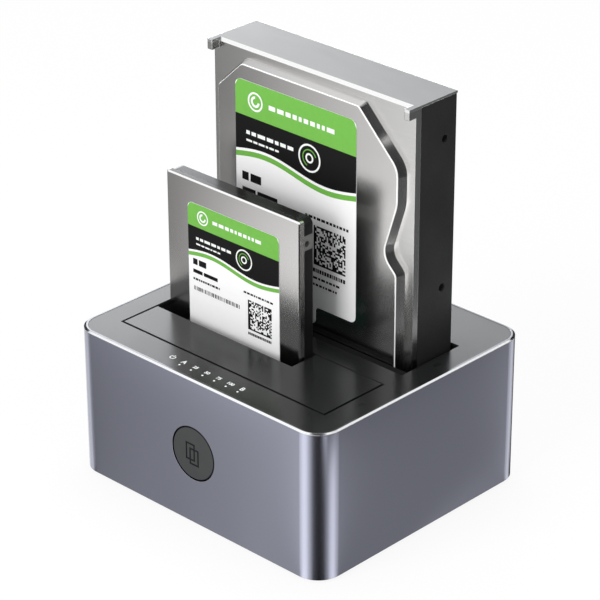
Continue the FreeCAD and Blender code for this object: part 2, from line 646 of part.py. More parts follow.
# ================================================================ rear ports
PORT_FACE = REAR_Y - PORT_RECESS
PORT_BACK = PORT_FACE - PORT_PANEL_T
SWITCH_OPENING = (19.0, 13.0)     # cut-out of the power switch, wide and tall
SWITCH_BEZEL = 1.2                # bezel beyond the cut-out, all round
SWITCH_BODY_DEPTH = 13.0
SWITCH_TAB_H = 2.4
JACK_HALF = 4.6
JACK_Z = BOARD_TOP + 5.4
USB_W = 8.94
USB_H = 3.16
USB_Z = BOARD_TOP + 0.1 + USB_H / 2


def stadium(x, z, width, height, y0, y1):
    """Slot shape with round ends, from y0 to y1, centred on x and z."""
    block = box(x - width / 2, x + width / 2, y0, y1, z - height / 2, z + height / 2)
    return rounded(block, height / 2 - 0.01, Y_AXIS)


def rear_port_panel():
    """Plastic panel in the rear window, held behind the shell by its flange."""
    panel = port_window(PORT_BACK, PORT_FACE, -PANEL_GAP)
    panel = joined([panel, port_window(PORT_BACK, REAR_INSIDE, PORT_FLANGE)])
    w, h = SWITCH_OPENING
    cutters = [box(SWITCH_X - w / 2, SWITCH_X + w / 2, PORT_BACK - 1, PORT_FACE + 1,
                   SWITCH_Z - h / 2, SWITCH_Z + h / 2),
               rod(JACK_X, PORT_BACK - 1, JACK_Z, JACK_R + 0.9, PORT_PANEL_T + 2, Y_AXIS),
               stadium(USB_X, USB_Z, USB_W + 0.8, USB_H + 0.8, PORT_BACK - 1, PORT_FACE + 1)]
    return less(panel, cutters)


def power_switch_body():
    """Rocker switch housing: a bezel on the port panel, a hollow body behind it and three terminals."""
    w, h = SWITCH_OPENING
    x0, x1 = SWITCH_X - w / 2, SWITCH_X + w / 2
    z0, z1 = SWITCH_Z - h / 2, SWITCH_Z + h / 2
    grow = SWITCH_BEZEL
    back = PORT_FACE - SWITCH_BODY_DEPTH
    bezel = rounded(box(x0 - grow, x1 + grow, PORT_FACE, REAR_Y, z0 - grow, z1 + grow), 1.0, Y_AXIS)
    body = box(x0 + 0.1, x1 - 0.1, back, PORT_FACE + TINY, z0 + 0.1, z1 - 0.1)
    tabs = [box(SWITCH_X + dx - 0.4, SWITCH_X + dx + 0.4, back - 5, back + TINY,
                SWITCH_Z - SWITCH_TAB_H, SWITCH_Z + SWITCH_TAB_H) for dx in (-6, 0, 6)]
    housing = joined([bezel, body] + tabs)
    hollow = box(x0 + 1.2, x1 - 1.2, PORT_FACE - 6.5, REAR_Y + 1, z0 + 1.2, z1 - 1.2)
    axle = rod(SWITCH_X, ROCKER_Y, z0 + 0.4, ROCKER_AXLE_R + RUNNING_PLAY, h - 0.8)
    return less(housing, [hollow, axle])


ROCKER_Y = REAR_Y - 4.2
ROCKER_AXLE_R = 0.8
ROCKER_HALF_W = SWITCH_OPENING[0] / 2 - 1.2 - 0.8
ROCKER_HALF_H = SWITCH_OPENING[1] / 2 - 1.2 - MOVE_GAP
ROCKER_RISE = 2.6


def power_rocker():
    """Rocker with a shallow V face and its moulded axle, tipped to the side that is pressed in."""
    y = ROCKER_Y
    outline = [(-ROCKER_HALF_W, y - 1.0), (-ROCKER_HALF_W, y + ROCKER_RISE), (0, y + ROCKER_RISE - 1.0),
               (ROCKER_HALF_W, y + ROCKER_RISE), (ROCKER_HALF_W, y - 1.0), (0, y - 1.7)]
    points = [Vector(SWITCH_X + px, py, SWITCH_Z - ROCKER_HALF_H) for px, py in outline]
    face = Part.Face(Part.makePolygon(points + points[:1]))
    rocker = face.extrude(Vector(0, 0, 2 * ROCKER_HALF_H))
    axle_half = SWITCH_OPENING[1] / 2 - 0.6
    rocker = joined([rocker, rod(SWITCH_X, y, SWITCH_Z - axle_half, ROCKER_AXLE_R, 2 * axle_half)])
    rocker.rotate(Vector(SWITCH_X, y, 0), Z_AXIS, ROCKER_TILT)
    return rocker


def dc_jack():
    """Barrel power inlet on the main board, with its centre pin."""
    back = PORT_BACK - 12.0
    body = box(JACK_X - JACK_HALF, JACK_X + JACK_HALF, back, PORT_BACK, BOARD_TOP, JACK_Z + JACK_HALF)
    nose = rod(JACK_X, PORT_BACK - 0.5, JACK_Z, JACK_R + 0.8, PORT_PANEL_T + 0.5, Y_AXIS)
    body = joined([body, nose])
    body = body.cut(rod(JACK_X, PORT_FACE - 10.0, JACK_Z, JACK_R, 11.0, Y_AXIS))
    return joined([body, rod(JACK_X, PORT_FACE - 10.5, JACK_Z, JACK_PIN_R, 9.8, Y_AXIS)])


def usb_socket():
    """Oval data port on the main board: a pressed metal shell."""
    y0 = PORT_FACE - 8.0
    shell = stadium(USB_X, USB_Z, USB_W, USB_H, y0, PORT_FACE)
    hollow = stadium(USB_X, USB_Z, USB_W - 0.6, USB_H - 0.6, y0 + 0.6, PORT_FACE + 1)
    return shell.cut(hollow)


def usb_tongue():
    """Moulded contact tongue inside the data port."""
    y0 = PORT_FACE - 7.4
    return box(USB_X - 3.3, USB_X + 3.3, y0, PORT_FACE - 0.9, USB_Z - 0.35, USB_Z + 0.35)


# ================================================================ harness
CABLE_X = (-23.5, -17.0)
CABLE_T = 0.4
CABLE_Y = -50.5
CABLE_BEND = 3.0
CABLE_END_Y = -36.0
LEAD_R = 0.7


def front_ribbon():
    """Flat ribbon from the indicator board straight down, then back on to the main board."""
    x0, x1 = CABLE_X
    bend_y = CABLE_Y + CABLE_BEND
    bend_z = BOARD_TOP + CABLE_BEND
    inner = CABLE_BEND - CABLE_T
    drop = box(x0, x1, CABLE_Y, CABLE_Y + CABLE_T, bend_z, LED_BOARD_Z)
    ring = rod(x0, bend_y, bend_z, CABLE_BEND, x1 - x0, X_AXIS).cut(
        rod(x0 - 1, bend_y, bend_z, inner, x1 - x0 + 2, X_AXIS))
    corner = ring.common(box(x0, x1, CABLE_Y, bend_y, BOARD_TOP, bend_z))
    run = box(x0, x1, bend_y, CABLE_END_Y, BOARD_TOP, BOARD_TOP + CABLE_T)
    return joined([drop, corner, run])


def switch_leads():
    """Two short leads from the power switch's terminals down to the main board."""
    y = PORT_FACE - SWITCH_BODY_DEPTH - 2.5
    low = SWITCH_Z - SWITCH_TAB_H
    return group([rod(SWITCH_X + dx, y, BOARD_TOP, LEAD_R, low - BOARD_TOP) for dx in (-6.0, 0.0)])


# ================================================================ drive mechanism
def disc_pack(x, y0, y1, z, disc_r, disc_t, discs, hub_r, bore_r):
    """Discs on a hub that turns about a line along Y; the hub spans y0 to y1."""
    parts = [rod(x, y0, z, hub_r, y1 - y0, Y_AXIS)]
    pitch = (y1 - y0) / discs
    for number in range(discs):
        middle = y0 + pitch * (number + 0.5)
        parts.append(rod(x, middle - disc_t / 2, z, disc_r, disc_t, Y_AXIS))
    return joined(parts).cut(rod(x, y0 - 1, z, bore_r, y1 - y0 + 2, Y_AXIS))


def head_arm(x, y0, y1, z, length, levels, blade_t, bearing_r, bore_r, parked):
    """Pivoting head arm: a bearing, one blade each level, and a coil tail on the other side."""
    parts = [rod(x, y0, z, bearing_r, y1 - y0, Y_AXIS)]
    for level in levels:
        points = [(0, bearing_r * 0.8), (length, 1.4), (length + 1.5, 0), (length, -1.4), (0, -bearing_r * 0.8)]
        corners = [Vector(x + px, level - blade_t / 2, z + pz) for px, pz in points]
        parts.append(Part.Face(Part.makePolygon(corners + corners[:1])).extrude(Vector(0, blade_t, 0)))
    tail = [(0, bearing_r * 0.7), (-bearing_r * 1.9, bearing_r), (-bearing_r * 1.9, -bearing_r),
            (0, -bearing_r * 0.7)]
    middle = (y0 + y1) / 2
    corners = [Vector(x + px, middle - blade_t, z + pz) for px, pz in tail]
    parts.append(Part.Face(Part.makePolygon(corners + corners[:1])).extrude(Vector(0, 2 * blade_t, 0)))
    arm = joined(parts).cut(rod(x, y0 - 1, z, bore_r, y1 - y0 + 2, Y_AXIS))
    arm.rotate(Vector(x, 0, z), Y_AXIS, -parked)
    return arm


def turned_corner(before, corner, after, radius):
    """Arc that rounds a corner: its start, its middle and its end, as (x, z) pairs."""
    def toward(target):
        dx, dz = target[0] - corner[0], target[1] - corner[1]
        size = math.hypot(dx, dz)
        return dx / size, dz / size
    back, ahead = toward(before), toward(after)
    half = math.acos(max(-1.0, min(1.0, back[0] * ahead[0] + back[1] * ahead[1]))) / 2
    reach = radius / math.tan(half)
    inward = (back[0] + ahead[0], back[1] + ahead[1])
    size = math.hypot(*inward)
    middle = radius / math.sin(half) - radius
    return ((corner[0] + back[0] * reach, corner[1] + back[1] * reach),
            (corner[0] + inward[0] / size * middle, corner[1] + inward[1] / size * middle),
            (corner[0] + ahead[0] * reach, corner[1] + ahead[1] * reach))


def grown_outline(outline, grow):
    """The outline with each side moved out by grow. Corners are (x, z, radius), anticlockwise."""
    count = len(outline)
    sides = []
    for index in range(count):
        ax, az, _ = outline[index]
        bx, bz, _ = outline[(index + 1) % count]
        size = math.hypot(bx - ax, bz - az)
        nx, nz = (bz - az) / size, -(bx - ax) / size
        sides.append((nx, nz, nx * ax + nz * az + grow))
    corners = []
    for index in range(count):
        n0x, n0z, d0 = sides[index - 1]
        n1x, n1z, d1 = sides[index]
        cross = n0x * n1z - n0z * n1x
        x = (d0 * n1z - d1 * n0z) / cross
        z = (n0x * d1 - n1x * d0) / cross
        radius = outline[index][2] + math.copysign(grow, cross)
        corners.append((x, z, radius))
    return corners


def rounded_wire(outline, grow, y):
    """Closed wire in the plane y, through the outline's sides and rounded corners."""
    corners = grown_outline(outline, grow)
    count = len(corners)
    arcs = [turned_corner(corners[index - 1], corners[index], corners[(index + 1) % count], corners[index][2])
            for index in range(count)]
    edges = []
    for index in range(count):
        start, middle, end = [Vector(x, y, z) for x, z in arcs[index]]
        edges.append(Part.Arc(start, middle, end).toShape())
        following = arcs[(index + 1) % count][0]
        edges.append(Part.LineSegment(end, Vector(following[0], y, following[1])).toShape())
    return Part.Wire(edges)


def placed(solid, x, y):
    """A drive's piece moved from the drive's own frame to its bay.

    The drive's frame has x from its centre line, y from its front plane and z from its lower end.
    """
    solid.translate(Vector(x, y, SEAT_Z))
    return solid


def board_screws(places, board_y, shank_r, length, head):
    """Screws that hold a drive's circuit board, driven in from the back."""
    return group([screw(x, board_y, z, shank_r, length, head, Y_AXIS * -1, head[1] * 0.6) for x, z in places])


# ================================================================ 3.5 inch drive
LARGE_DECK = 3.7             # front plane to the deck round the raised cover
LARGE_RIM_T = 2.8
LARGE_EAR = (2.4, 4.1)       # width and height of the two upper corner ears
LARGE_END_T = 0.9
LARGE_BEVEL = 1.2
LARGE_DRAFT = 1.5            # how far the cover's side wall leans out
LARGE_COVER_EDGE = 0.55      # rounding of the edge round the cover's face
LARGE_SKIN = 1.0
LARGE_CAVITY_BACK = 19.5
LARGE_BOARD_SEAT = 23.6
LARGE_BOARD_T = 1.2
LARGE_SPINDLE_Z = 95.0
LARGE_DISC_R = 47.5
LARGE_PIVOT = (31.0, 47.0)
LARGE_ARM_L = 44.5
LARGE_PARK = 177.5
LARGE_SHAFT_R = 2.0
SIDE_HOLES_Z = (28.5, 70.1, 130.1)
SIDE_HOLE_FROM_BACK = 6.35
SIDE_HOLE_R = 1.45
SIDE_HOLE_DEPTH = 5.0
LARGE_BOARD_SCREWS = [(-43.0, 13.0), (43.0, 13.0), (-43.0, 57.0), (43.0, 57.0)]
LARGE_COVER_OUTLINE = [(-45.5, 6.0, 2.0), (45.3, 6.0, 2.0), (45.3, 80.0, 2.0), (38.7, 86.6, 7.5),
                       (45.5, 108.0, 16.0), (45.5, 122.4, 8.0), (26.3, 141.6, 2.0), (-32.9, 141.6, 2.0),
                       (-45.5, 129.8, 2.0)]
LARGE_LABEL_OUTLINE = [(-36.2, 45.9, 2.0), (5.2, 45.9, 2.5), (5.2, 53.5, 2.0), (25.7, 53.5, 2.5),
                       (25.7, 135.7, 3.0), (-36.2, 135.7, 3.0)]
LABEL_T = 0.15


def large_cavity(y0, y1):
    """Round well for the discs and a bay for the head arm, from y0 to y1."""
    well = rod(0, y0, LARGE_SPINDLE_Z, LARGE_DISC_R + 0.8, y1 - y0, Y_AXIS)
    bay = rounded(box(-24.0, 45.0, y0, y1, 24.0, 74.0), 4.0, Y_AXIS)
    return joined([well, bay])


def large_plug_block():
    return plug_block(-LARGE_SATA_OFFSET, LARGE_T - SATA_FROM_BACK, 0)


def large_drive_base():
    """Cast tub: disc well in front, two fixed shafts, a recess for the board behind and screw holes."""
    rim_back = LARGE_DECK + LARGE_RIM_T
    tub = box(-LARGE_W / 2, LARGE_W / 2, rim_back, LARGE_T, 0, LARGE_L - LARGE_END_T)
    back_edges = [edge for edge in tub.Edges
                  if runs_along(edge, Z_AXIS) and edge.CenterOfMass.y > LARGE_T - TINY]
    tub = tub.makeFillet(0.8, back_edges)
    motor_ring = rod(0, LARGE_T - 0.8, LARGE_SPINDLE_Z, 15.0, 2, Y_AXIS).cut(
        rod(0, LARGE_T - 2, LARGE_SPINDLE_Z, 13.6, 4, Y_AXIS))
    recess = rounded(box(-48.0, 48.0, LARGE_BOARD_SEAT, LARGE_T + 1, PLUG_H, 63.0), 3.0, Y_AXIS)
    cutters = [large_cavity(rim_back - 1, LARGE_CAVITY_BACK), recess, motor_ring, large_plug_block()]
    hole_y = LARGE_T - SIDE_HOLE_FROM_BACK
    for z in SIDE_HOLES_Z:
        for side in (-1, 1):
            cutters.append(rod(side * LARGE_W / 2, hole_y, z, SIDE_HOLE_R, SIDE_HOLE_DEPTH, X_AXIS * -side))
            sink = Part.makeCone(SIDE_HOLE_R + 0.3, SIDE_HOLE_R, 0.3, Vector(side * LARGE_W / 2, hole_y, z),
                                 X_AXIS * -side)
            cutters.append(sink)
    cutters += [rod(x, LARGE_BOARD_SEAT + 1, z, M2_R + SCREW_PLAY, 4.0, Y_AXIS * -1)
                for x, z in LARGE_BOARD_SCREWS]
    tub = less(tub, cutters)
    shafts = [rod(x, LARGE_CAVITY_BACK + TINY, z, LARGE_SHAFT_R, 12.5, Y_AXIS * -1)
              for x, z in ((0, LARGE_SPINDLE_Z), LARGE_PIVOT)]
    return placed(joined([tub] + shafts), LARGE_X, LARGE_Y)


def large_drive_frame():
    """Bare metal front of the casting: a deck round the cavity, two ears and the upper end face."""
    rim_back = LARGE_DECK + LARGE_RIM_T
    half = LARGE_W / 2
    ear_w, ear_h = LARGE_EAR
    deck = box(-half, half, LARGE_DECK, rim_back, 0, LARGE_L)
    deck = deck.makeChamfer(LARGE_BEVEL, [edge for edge in deck.Edges if runs_along(edge, X_AXIS)
                                          and edge.CenterOfMass.y < LARGE_DECK + TINY
                                          and edge.CenterOfMass.z > LARGE_L - TINY])
    end = box(-half, half, rim_back - TINY, LARGE_T, LARGE_L - LARGE_END_T, LARGE_L)
    ears = [box(min(side * half, side * (half - ear_w)), max(side * half, side * (half - ear_w)),
                0, rim_back, LARGE_L - ear_h, LARGE_L) for side in (-1, 1)]
    frame = joined([deck, end] + ears)
    inside = Part.Face(rounded_wire(LARGE_COVER_OUTLINE, -LARGE_DRAFT, LARGE_DECK - 1))
    inside = inside.extrude(Vector(0, LARGE_RIM_T + 2, 0))
    frame = frame.cut(inside.common(large_cavity(LARGE_DECK - 1, rim_back + 1)))
    return placed(frame, LARGE_X, LARGE_Y)


def large_drive_cover():
    """Raised cover with clipped upper corners and a waisted right side, hollow behind its face."""
    outer = Part.makeLoft([rounded_wire(LARGE_COVER_OUTLINE, LARGE_DRAFT, LARGE_DECK),
                           rounded_wire(LARGE_COVER_OUTLINE, 0, 0)], True, True)
    outer = outer.makeFillet(LARGE_COVER_EDGE, [edge for edge in outer.Edges if edge.BoundBox.YMax < TINY])
    pocket = Part.Face(rounded_wire(LARGE_COVER_OUTLINE, -LARGE_DRAFT, LARGE_DECK + 1))
    pocket = pocket.extrude(Vector(0, LARGE_SKIN - LARGE_DECK - 1, 0))
    return placed(outer.cut(pocket), LARGE_X, LARGE_Y)


def label(outline):
    """Thin sticker on a cover's front plane."""
    return Part.Face(rounded_wire(outline, 0, 0)).extrude(Vector(0, -LABEL_T, 0))


def large_drive_label():
    return placed(label(LARGE_LABEL_OUTLINE), LARGE_X, LARGE_Y)


def large_drive_board():
    y0, y1 = LARGE_BOARD_SEAT, LARGE_BOARD_SEAT + LARGE_BOARD_T
    board = rounded(box(-47.0, 47.0, y0, y1, PLUG_H + 0.6, 62.0), 2.5, Y_AXIS)
    board = less(board, [rod(x, y0 - 1, z, M2_R + SCREW_PLAY, 4, Y_AXIS) for x, z in LARGE_BOARD_SCREWS])
    chips = [box(x - w / 2, x + w / 2, y1, y1 + 0.9, z - h / 2, z + h / 2)
             for x, z, w, h in ((-8.0, 38.0, 16.0, 16.0), (16.0, 40.0, 10.0, 14.0), (30.0, 26.0, 8.0, 8.0),
                                (-30.0, 34.0, 9.0, 7.0), (4.0, 18.0, 6.0, 5.0))]
    return placed(group([board] + chips), LARGE_X, LARGE_Y)


def large_drive_board_screws():
    y = LARGE_BOARD_SEAT + LARGE_BOARD_T
    return placed(board_screws(LARGE_BOARD_SCREWS, y, M2_R, 4.0, (1.8, 1.0)), LARGE_X, LARGE_Y)


def large_drive_discs():
    pack = disc_pack(0, 7.6, 19.0, LARGE_SPINDLE_Z, LARGE_DISC_R, 0.9, 3, 12.5, LARGE_SHAFT_R + RUNNING_PLAY)
    return placed(pack, LARGE_X, LARGE_Y)


def large_drive_head_arm():
    x, z = LARGE_PIVOT
    arm = head_arm(x, 8.0, 18.6, z, LARGE_ARM_L, (11.4, 15.2), 0.8, 6.0, LARGE_SHAFT_R + RUNNING_PLAY,
                   LARGE_PARK)
    return placed(arm, LARGE_X, LARGE_Y)


# ================================================================ 2.5 inch drive
SMALL_COVER_T = 2.5
SMALL_SKIN = 0.6
SMALL_COVER_BEVEL = 0.6
SMALL_COVER_R = 1.0
SMALL_BASE_R = 2.6
SMALL_CAVITY_BACK = 5.3
SMALL_BOARD_SEAT = 5.9
SMALL_BOARD_T = 0.6
SMALL_SPINDLE_Z = 65.4
SMALL_DISC_R = 32.5
SMALL_PIVOT = (22.0, 30.0)
SMALL_ARM_L = 30.0
SMALL_PARK = 175.0
SMALL_SHAFT_R = 1.4
SMALL_SIDE_HOLES_Z = (14.0, 90.6)
SMALL_SIDE_HOLE_R = 1.25
SMALL_SIDE_HOLE_FROM_BACK = 3.0
SMALL_BOARD_SCREWS = [(-31.0, 11.5), (31.0, 11.5), (-31.0, 50.0), (31.0, 50.0)]
SMALL_SCREW_R = 0.5
SMALL_LABEL_OUTLINE = [(-23.4, 12.0, 2.0), (24.6, 12.0, 2.0), (24.6, 91.0, 2.2), (-23.4, 91.0, 2.2)]


def small_cavity(y0, y1):
    well = rod(0, y0, SMALL_SPINDLE_Z, SMALL_DISC_R + 0.6, y1 - y0, Y_AXIS)
    bay = rounded(box(-14.0, 32.0, y0, y1, 14.0, 50.0), 3.0, Y_AXIS)
    return joined([well, bay])


def small_plug_block():
    return plug_block(-SMALL_SATA_OFFSET, SMALL_T - SATA_FROM_BACK, 0)


def small_drive_base():
    """Black cast tub of the small drive, with fixed shafts, screw holes and a recess for its board."""
    half = SMALL_W / 2
    tub = rounded(box(-half, half, SMALL_COVER_T, SMALL_T, 0, SMALL_L), SMALL_BASE_R, Y_AXIS)
    recess = rounded(box(-half + 1.2, half - 1.2, SMALL_BOARD_SEAT, SMALL_T + 1, PLUG_H, 54.0), 2.0, Y_AXIS)
    cutters = [small_cavity(SMALL_COVER_T - 1, SMALL_CAVITY_BACK), recess, small_plug_block()]
    hole_y = SMALL_T - SMALL_SIDE_HOLE_FROM_BACK
    cutters += [rod(side * half, hole_y, z, SMALL_SIDE_HOLE_R, 2.5, X_AXIS * -side)
                for z in SMALL_SIDE_HOLES_Z for side in (-1, 1)]
    cutters += [rod(x, SMALL_T, z, SMALL_SCREW_R + SCREW_PLAY, SMALL_T - SMALL_CAVITY_BACK + 1.5, Y_AXIS * -1)
                for x, z in SMALL_BOARD_SCREWS]
    tub = less(tub, cutters)
    shafts = [rod(x, SMALL_CAVITY_BACK + TINY, z, SMALL_SHAFT_R, 4.4, Y_AXIS * -1)
              for x, z in ((0, SMALL_SPINDLE_Z), SMALL_PIVOT)]
    return placed(joined([tub] + shafts), SMALL_X, SMALL_Y)


def small_drive_cover():
    """Pressed metal cover that wraps the front of the small drive."""
    half = SMALL_W / 2
    cover = rounded(box(-half, half, 0, SMALL_COVER_T, 0, SMALL_L), SMALL_COVER_R, Y_AXIS)
    cover = cover.makeChamfer(SMALL_COVER_BEVEL, [e for e in cover.Edges if e.BoundBox.YMax < TINY])
    inset = 0.9
    pocket = rounded(box(-half + inset, half - inset, SMALL_SKIN, SMALL_COVER_T + 1,
                         PLUG_H + inset, SMALL_L - inset), SMALL_COVER_R, Y_AXIS)
    return placed(less(cover, [pocket, small_plug_block()]), SMALL_X, SMALL_Y)


def small_drive_label():
    return placed(label(SMALL_LABEL_OUTLINE), SMALL_X, SMALL_Y)


def small_drive_board():
    y0, y1 = SMALL_BOARD_SEAT, SMALL_BOARD_SEAT + SMALL_BOARD_T
    half = SMALL_W / 2 - 1.8
    board = rounded(box(-half, half, y0, y1, PLUG_H + 0.6, 53.0), 1.5, Y_AXIS)
    board = less(board, [rod(x, y0 - 1, z, SMALL_SCREW_R + SCREW_PLAY, 3, Y_AXIS) for x, z in SMALL_BOARD_SCREWS])
    chips = [box(x - w / 2, x + w / 2, y1, y1 + 0.4, z - h / 2, z + h / 2)
             for x, z, w, h in ((-6.0, 32.0, 12.0, 12.0), (14.0, 34.0, 8.0, 10.0), (-22.0, 26.0, 6.0, 6.0))]
    return placed(group([board] + chips), SMALL_X, SMALL_Y)


def small_drive_board_screws():
    y = SMALL_BOARD_SEAT + SMALL_BOARD_T
    return placed(board_screws(SMALL_BOARD_SCREWS, y, SMALL_SCREW_R, 1.8, (1.2, 0.4)), SMALL_X, SMALL_Y)


def small_drive_disc():
    pack = disc_pack(0, 1.3, 5.0, SMALL_SPINDLE_Z, SMALL_DISC_R, 0.64, 1, 9.0, SMALL_SHAFT_R + RUNNING_PLAY)
    return placed(pack, SMALL_X, SMALL_Y)


def small_drive_head_arm():
    x, z = SMALL_PIVOT
    arm = head_arm(x, 1.5, 4.9, z, SMALL_ARM_L, (2.1, 4.2), 0.5, 4.0, SMALL_SHAFT_R + RUNNING_PLAY, SMALL_PARK)
    return placed(arm, SMALL_X, SMALL_Y)


# ================================================================ the assembly
NODES = {
    "outer_shell": outer_shell,
    "top_panel": top_panel,
    "base_plate": base_plate,
    "rubber_feet": rubber_feet,
    "base_screws": base_screws,
    "well_screws": well_screws,
    "front_slot_well": front_slot_well,
    "rear_slot_well": rear_slot_well,
    "front_flap": lambda: flap_blank(FRONT_SLOT_Y),
    "rear_flap": lambda: folded(flap_blank(REAR_SLOT_Y), REAR_SLOT_Y, rear_fold()),
    "front_hinge_pin": lambda: hinge_pin(FRONT_SLOT_Y),
    "rear_hinge_pin": lambda: hinge_pin(REAR_SLOT_Y),
    "front_flap_spring": lambda: torsion_spring(FRONT_SLOT_Y, 0),
    "rear_flap_spring": lambda: torsion_spring(REAR_SLOT_Y, rear_fold()),
    "front_sata_socket": lambda: sata_socket(*FRONT_SOCKET),
    "rear_sata_socket": lambda: sata_socket(*REAR_SOCKET),
    "clone_button": clone_button,
    "button_plunger": button_plunger,
    "button_switch": button_switch,
    "button_guide": button_guide,
    "button_board": button_board,
    "indicator_light_pipes": indicator_light_pipes,
    "indicator_leds": indicator_leds,
    "indicator_board": indicator_board,
    "small_board_screws": small_board_screws,
    "main_board": main_board,
    "board_chips": board_chips,
    "board_capacitors": board_capacitors,
    "main_board_screws": main_board_screws,
    "front_ribbon": front_ribbon,
    "switch_leads": switch_leads,
    "rear_port_panel": rear_port_panel,
    "power_switch_body": power_switch_body,
    "power_rocker": power_rocker,
    "dc_jack": dc_jack,
    "usb_socket": usb_socket,
    "usb_tongue": usb_tongue,
    "large_drive_base": large_drive_base,
    "large_drive_frame": large_drive_frame,
    "large_drive_cover": large_drive_cover,
    "large_drive_label": large_drive_label,
    "large_drive_board": large_drive_board,
    "large_drive_board_screws": large_drive_board_screws,
    "large_drive_plug": lambda: sata_plug(*REAR_SOCKET),
    "large_drive_discs": large_drive_discs,
    "large_drive_head_arm": large_drive_head_arm,
    "small_drive_base": small_drive_base,
    "small_drive_cover": small_drive_cover,
    "small_drive_label": small_drive_label,
    "small_drive_board": small_drive_board,
    "small_drive_board_screws": small_drive_board_screws,
    "small_drive_plug": lambda: sata_plug(*FRONT_SOCKET),
    "small_drive_disc": small_drive_disc,
    "small_drive_head_arm": small_drive_head_arm,
}

os.makedirs("parts", exist_ok=True)
for name, make in NODES.items():
    shape = make()
    if not shape.isValid() or shape.Volume <= 0 or not shape.Solids:
        raise ValueError(name + " is not a sound solid")
    shape.exportStep("parts/" + name + ".step")
    bounds = shape.BoundBox
    print("%-26s %2d solids %10.1f mm3  x %7.2f %7.2f  y %7.2f %7.2f  z %7.2f %7.2f" % (
        name, len(shape.Solids), shape.Volume, bounds.XMin, bounds.XMax, bounds.YMin, bounds.YMax,
        bounds.ZMin, bounds.ZMax))
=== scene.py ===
# %% [markdown]
# # A drive duplicator with two drives in it
# The shapes of this dock, its joints and its screws come from a CAD model. Here they get their
# finishes: anodised metal, semi-gloss lid, moulded plastic, pressed drive covers and printed labels.
# The first cell loads that model as a fixed frame. Nothing in it is moved.

# %% Load the frame
import math

import bpy
import numpy as np
from mathutils import Matrix, Vector


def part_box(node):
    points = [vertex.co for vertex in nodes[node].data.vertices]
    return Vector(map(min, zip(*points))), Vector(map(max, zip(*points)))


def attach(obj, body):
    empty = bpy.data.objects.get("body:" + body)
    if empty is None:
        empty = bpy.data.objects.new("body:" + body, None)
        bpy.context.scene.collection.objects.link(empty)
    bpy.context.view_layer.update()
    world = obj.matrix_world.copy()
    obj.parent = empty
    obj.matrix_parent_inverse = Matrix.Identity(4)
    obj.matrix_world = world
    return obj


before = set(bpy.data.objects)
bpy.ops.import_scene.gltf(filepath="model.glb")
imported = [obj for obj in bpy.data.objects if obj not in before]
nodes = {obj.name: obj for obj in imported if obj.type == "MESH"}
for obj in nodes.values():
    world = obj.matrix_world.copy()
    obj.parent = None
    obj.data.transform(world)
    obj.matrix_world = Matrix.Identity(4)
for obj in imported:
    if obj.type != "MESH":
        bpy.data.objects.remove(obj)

bpy.context.view_layer.update()

# %% [markdown]
# Lengths are easier to think about in millimetres, while Blender's unit here is the metre. One factor
# does the change everywhere. Three places are read off the frame: the middle line of each drive and
# the height of its lower end, because labels and marks are laid out from there.

# %% Places read off the frame
MM = 0.001


def corners_mm(node):
    """Lowest and highest corner of a node, in millimetres."""
    low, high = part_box(node)
    return np.array(low) / MM, np.array(high) / MM


def drive_frame(base, label):
    """Middle line x, front plane y of the label, and lower end z of a drive."""
    low, high = corners_mm(base)
    return (low[0] + high[0]) / 2, corners_mm(label)[0][1], low[2]


LARGE = drive_frame("large_drive_base", "large_drive_label")
SMALL = drive_frame("small_drive_base", "small_drive_label")
lid_top = corners_mm("top_panel")[1][2]
shell_low, shell_high = corners_mm("outer_shell")
print("large drive at", np.round(LARGE, 2), "small drive at", np.round(SMALL, 2), "lid", round(lid_top, 2))

# %% [markdown]
# ## Finishes
# Every finish starts from one Principled shader. A short helper makes the material, and others add the
# details that real surfaces share: a fine grain, slow changes of gloss, and edges that are rounded a
# little, as no moulded or pressed edge is perfectly sharp. All patterns read Object coordinates, so
# they stay put when a piece swings or slides. As every piece keeps its place in its mesh, those
# coordinates are places on the whole object, and a finish can change at a known height or depth.

# %% Helpers for materials
def finish(name, colour, metallic=0.0, roughness=0.5, specular=0.5):
    """New material with one Principled shader. Returns the material and its node tree."""
    made = bpy.data.materials.new(name)
    made.use_nodes = True
    tree = made.node_tree
    shader = tree.nodes["Principled BSDF"]
    shader.inputs["Base Color"].default_value = (*colour, 1)
    shader.inputs["Metallic"].default_value = metallic
    shader.inputs["Roughness"].default_value = roughness
    shader.inputs["Specular IOR Level"].default_value = specular
    return made, tree


def place(tree):
    """Object coordinates of the point being shaded."""
    return tree.nodes.new("ShaderNodeTexCoord").outputs["Object"]


def noise(tree, scale, detail=2.0):
    """Soft random pattern with the given number of lumps per metre."""
    node = tree.nodes.new("ShaderNodeTexNoise")
    node.inputs["Scale"].default_value = scale
    node.inputs["Detail"].default_value = detail
    tree.links.new(place(tree), node.inputs["Vector"])
    return node.outputs["Fac"]


def between(tree, value, low, high, out_low, out_high, way="SMOOTHSTEP"):
    """The value mapped from the span low..high to out_low..out_high, clamped, smoothly or straight."""
    node = tree.nodes.new("ShaderNodeMapRange")
    node.interpolation_type = way
    for socket, number in zip(node.inputs[1:5], (low, high, out_low, out_high)):
        socket.default_value = number
    tree.links.new(value, node.inputs["Value"])
    return node.outputs["Result"]


def math_node(tree, operation, a, b):
    """One Math node. a and b are sockets or plain numbers."""
    node = tree.nodes.new("ShaderNodeMath")
    node.operation = operation
    for socket, value in zip(node.inputs, (a, b)):
        if isinstance(value, (int, float)):
            socket.default_value = value
        else:
            tree.links.new(value, socket)
    return node.outputs["Value"]


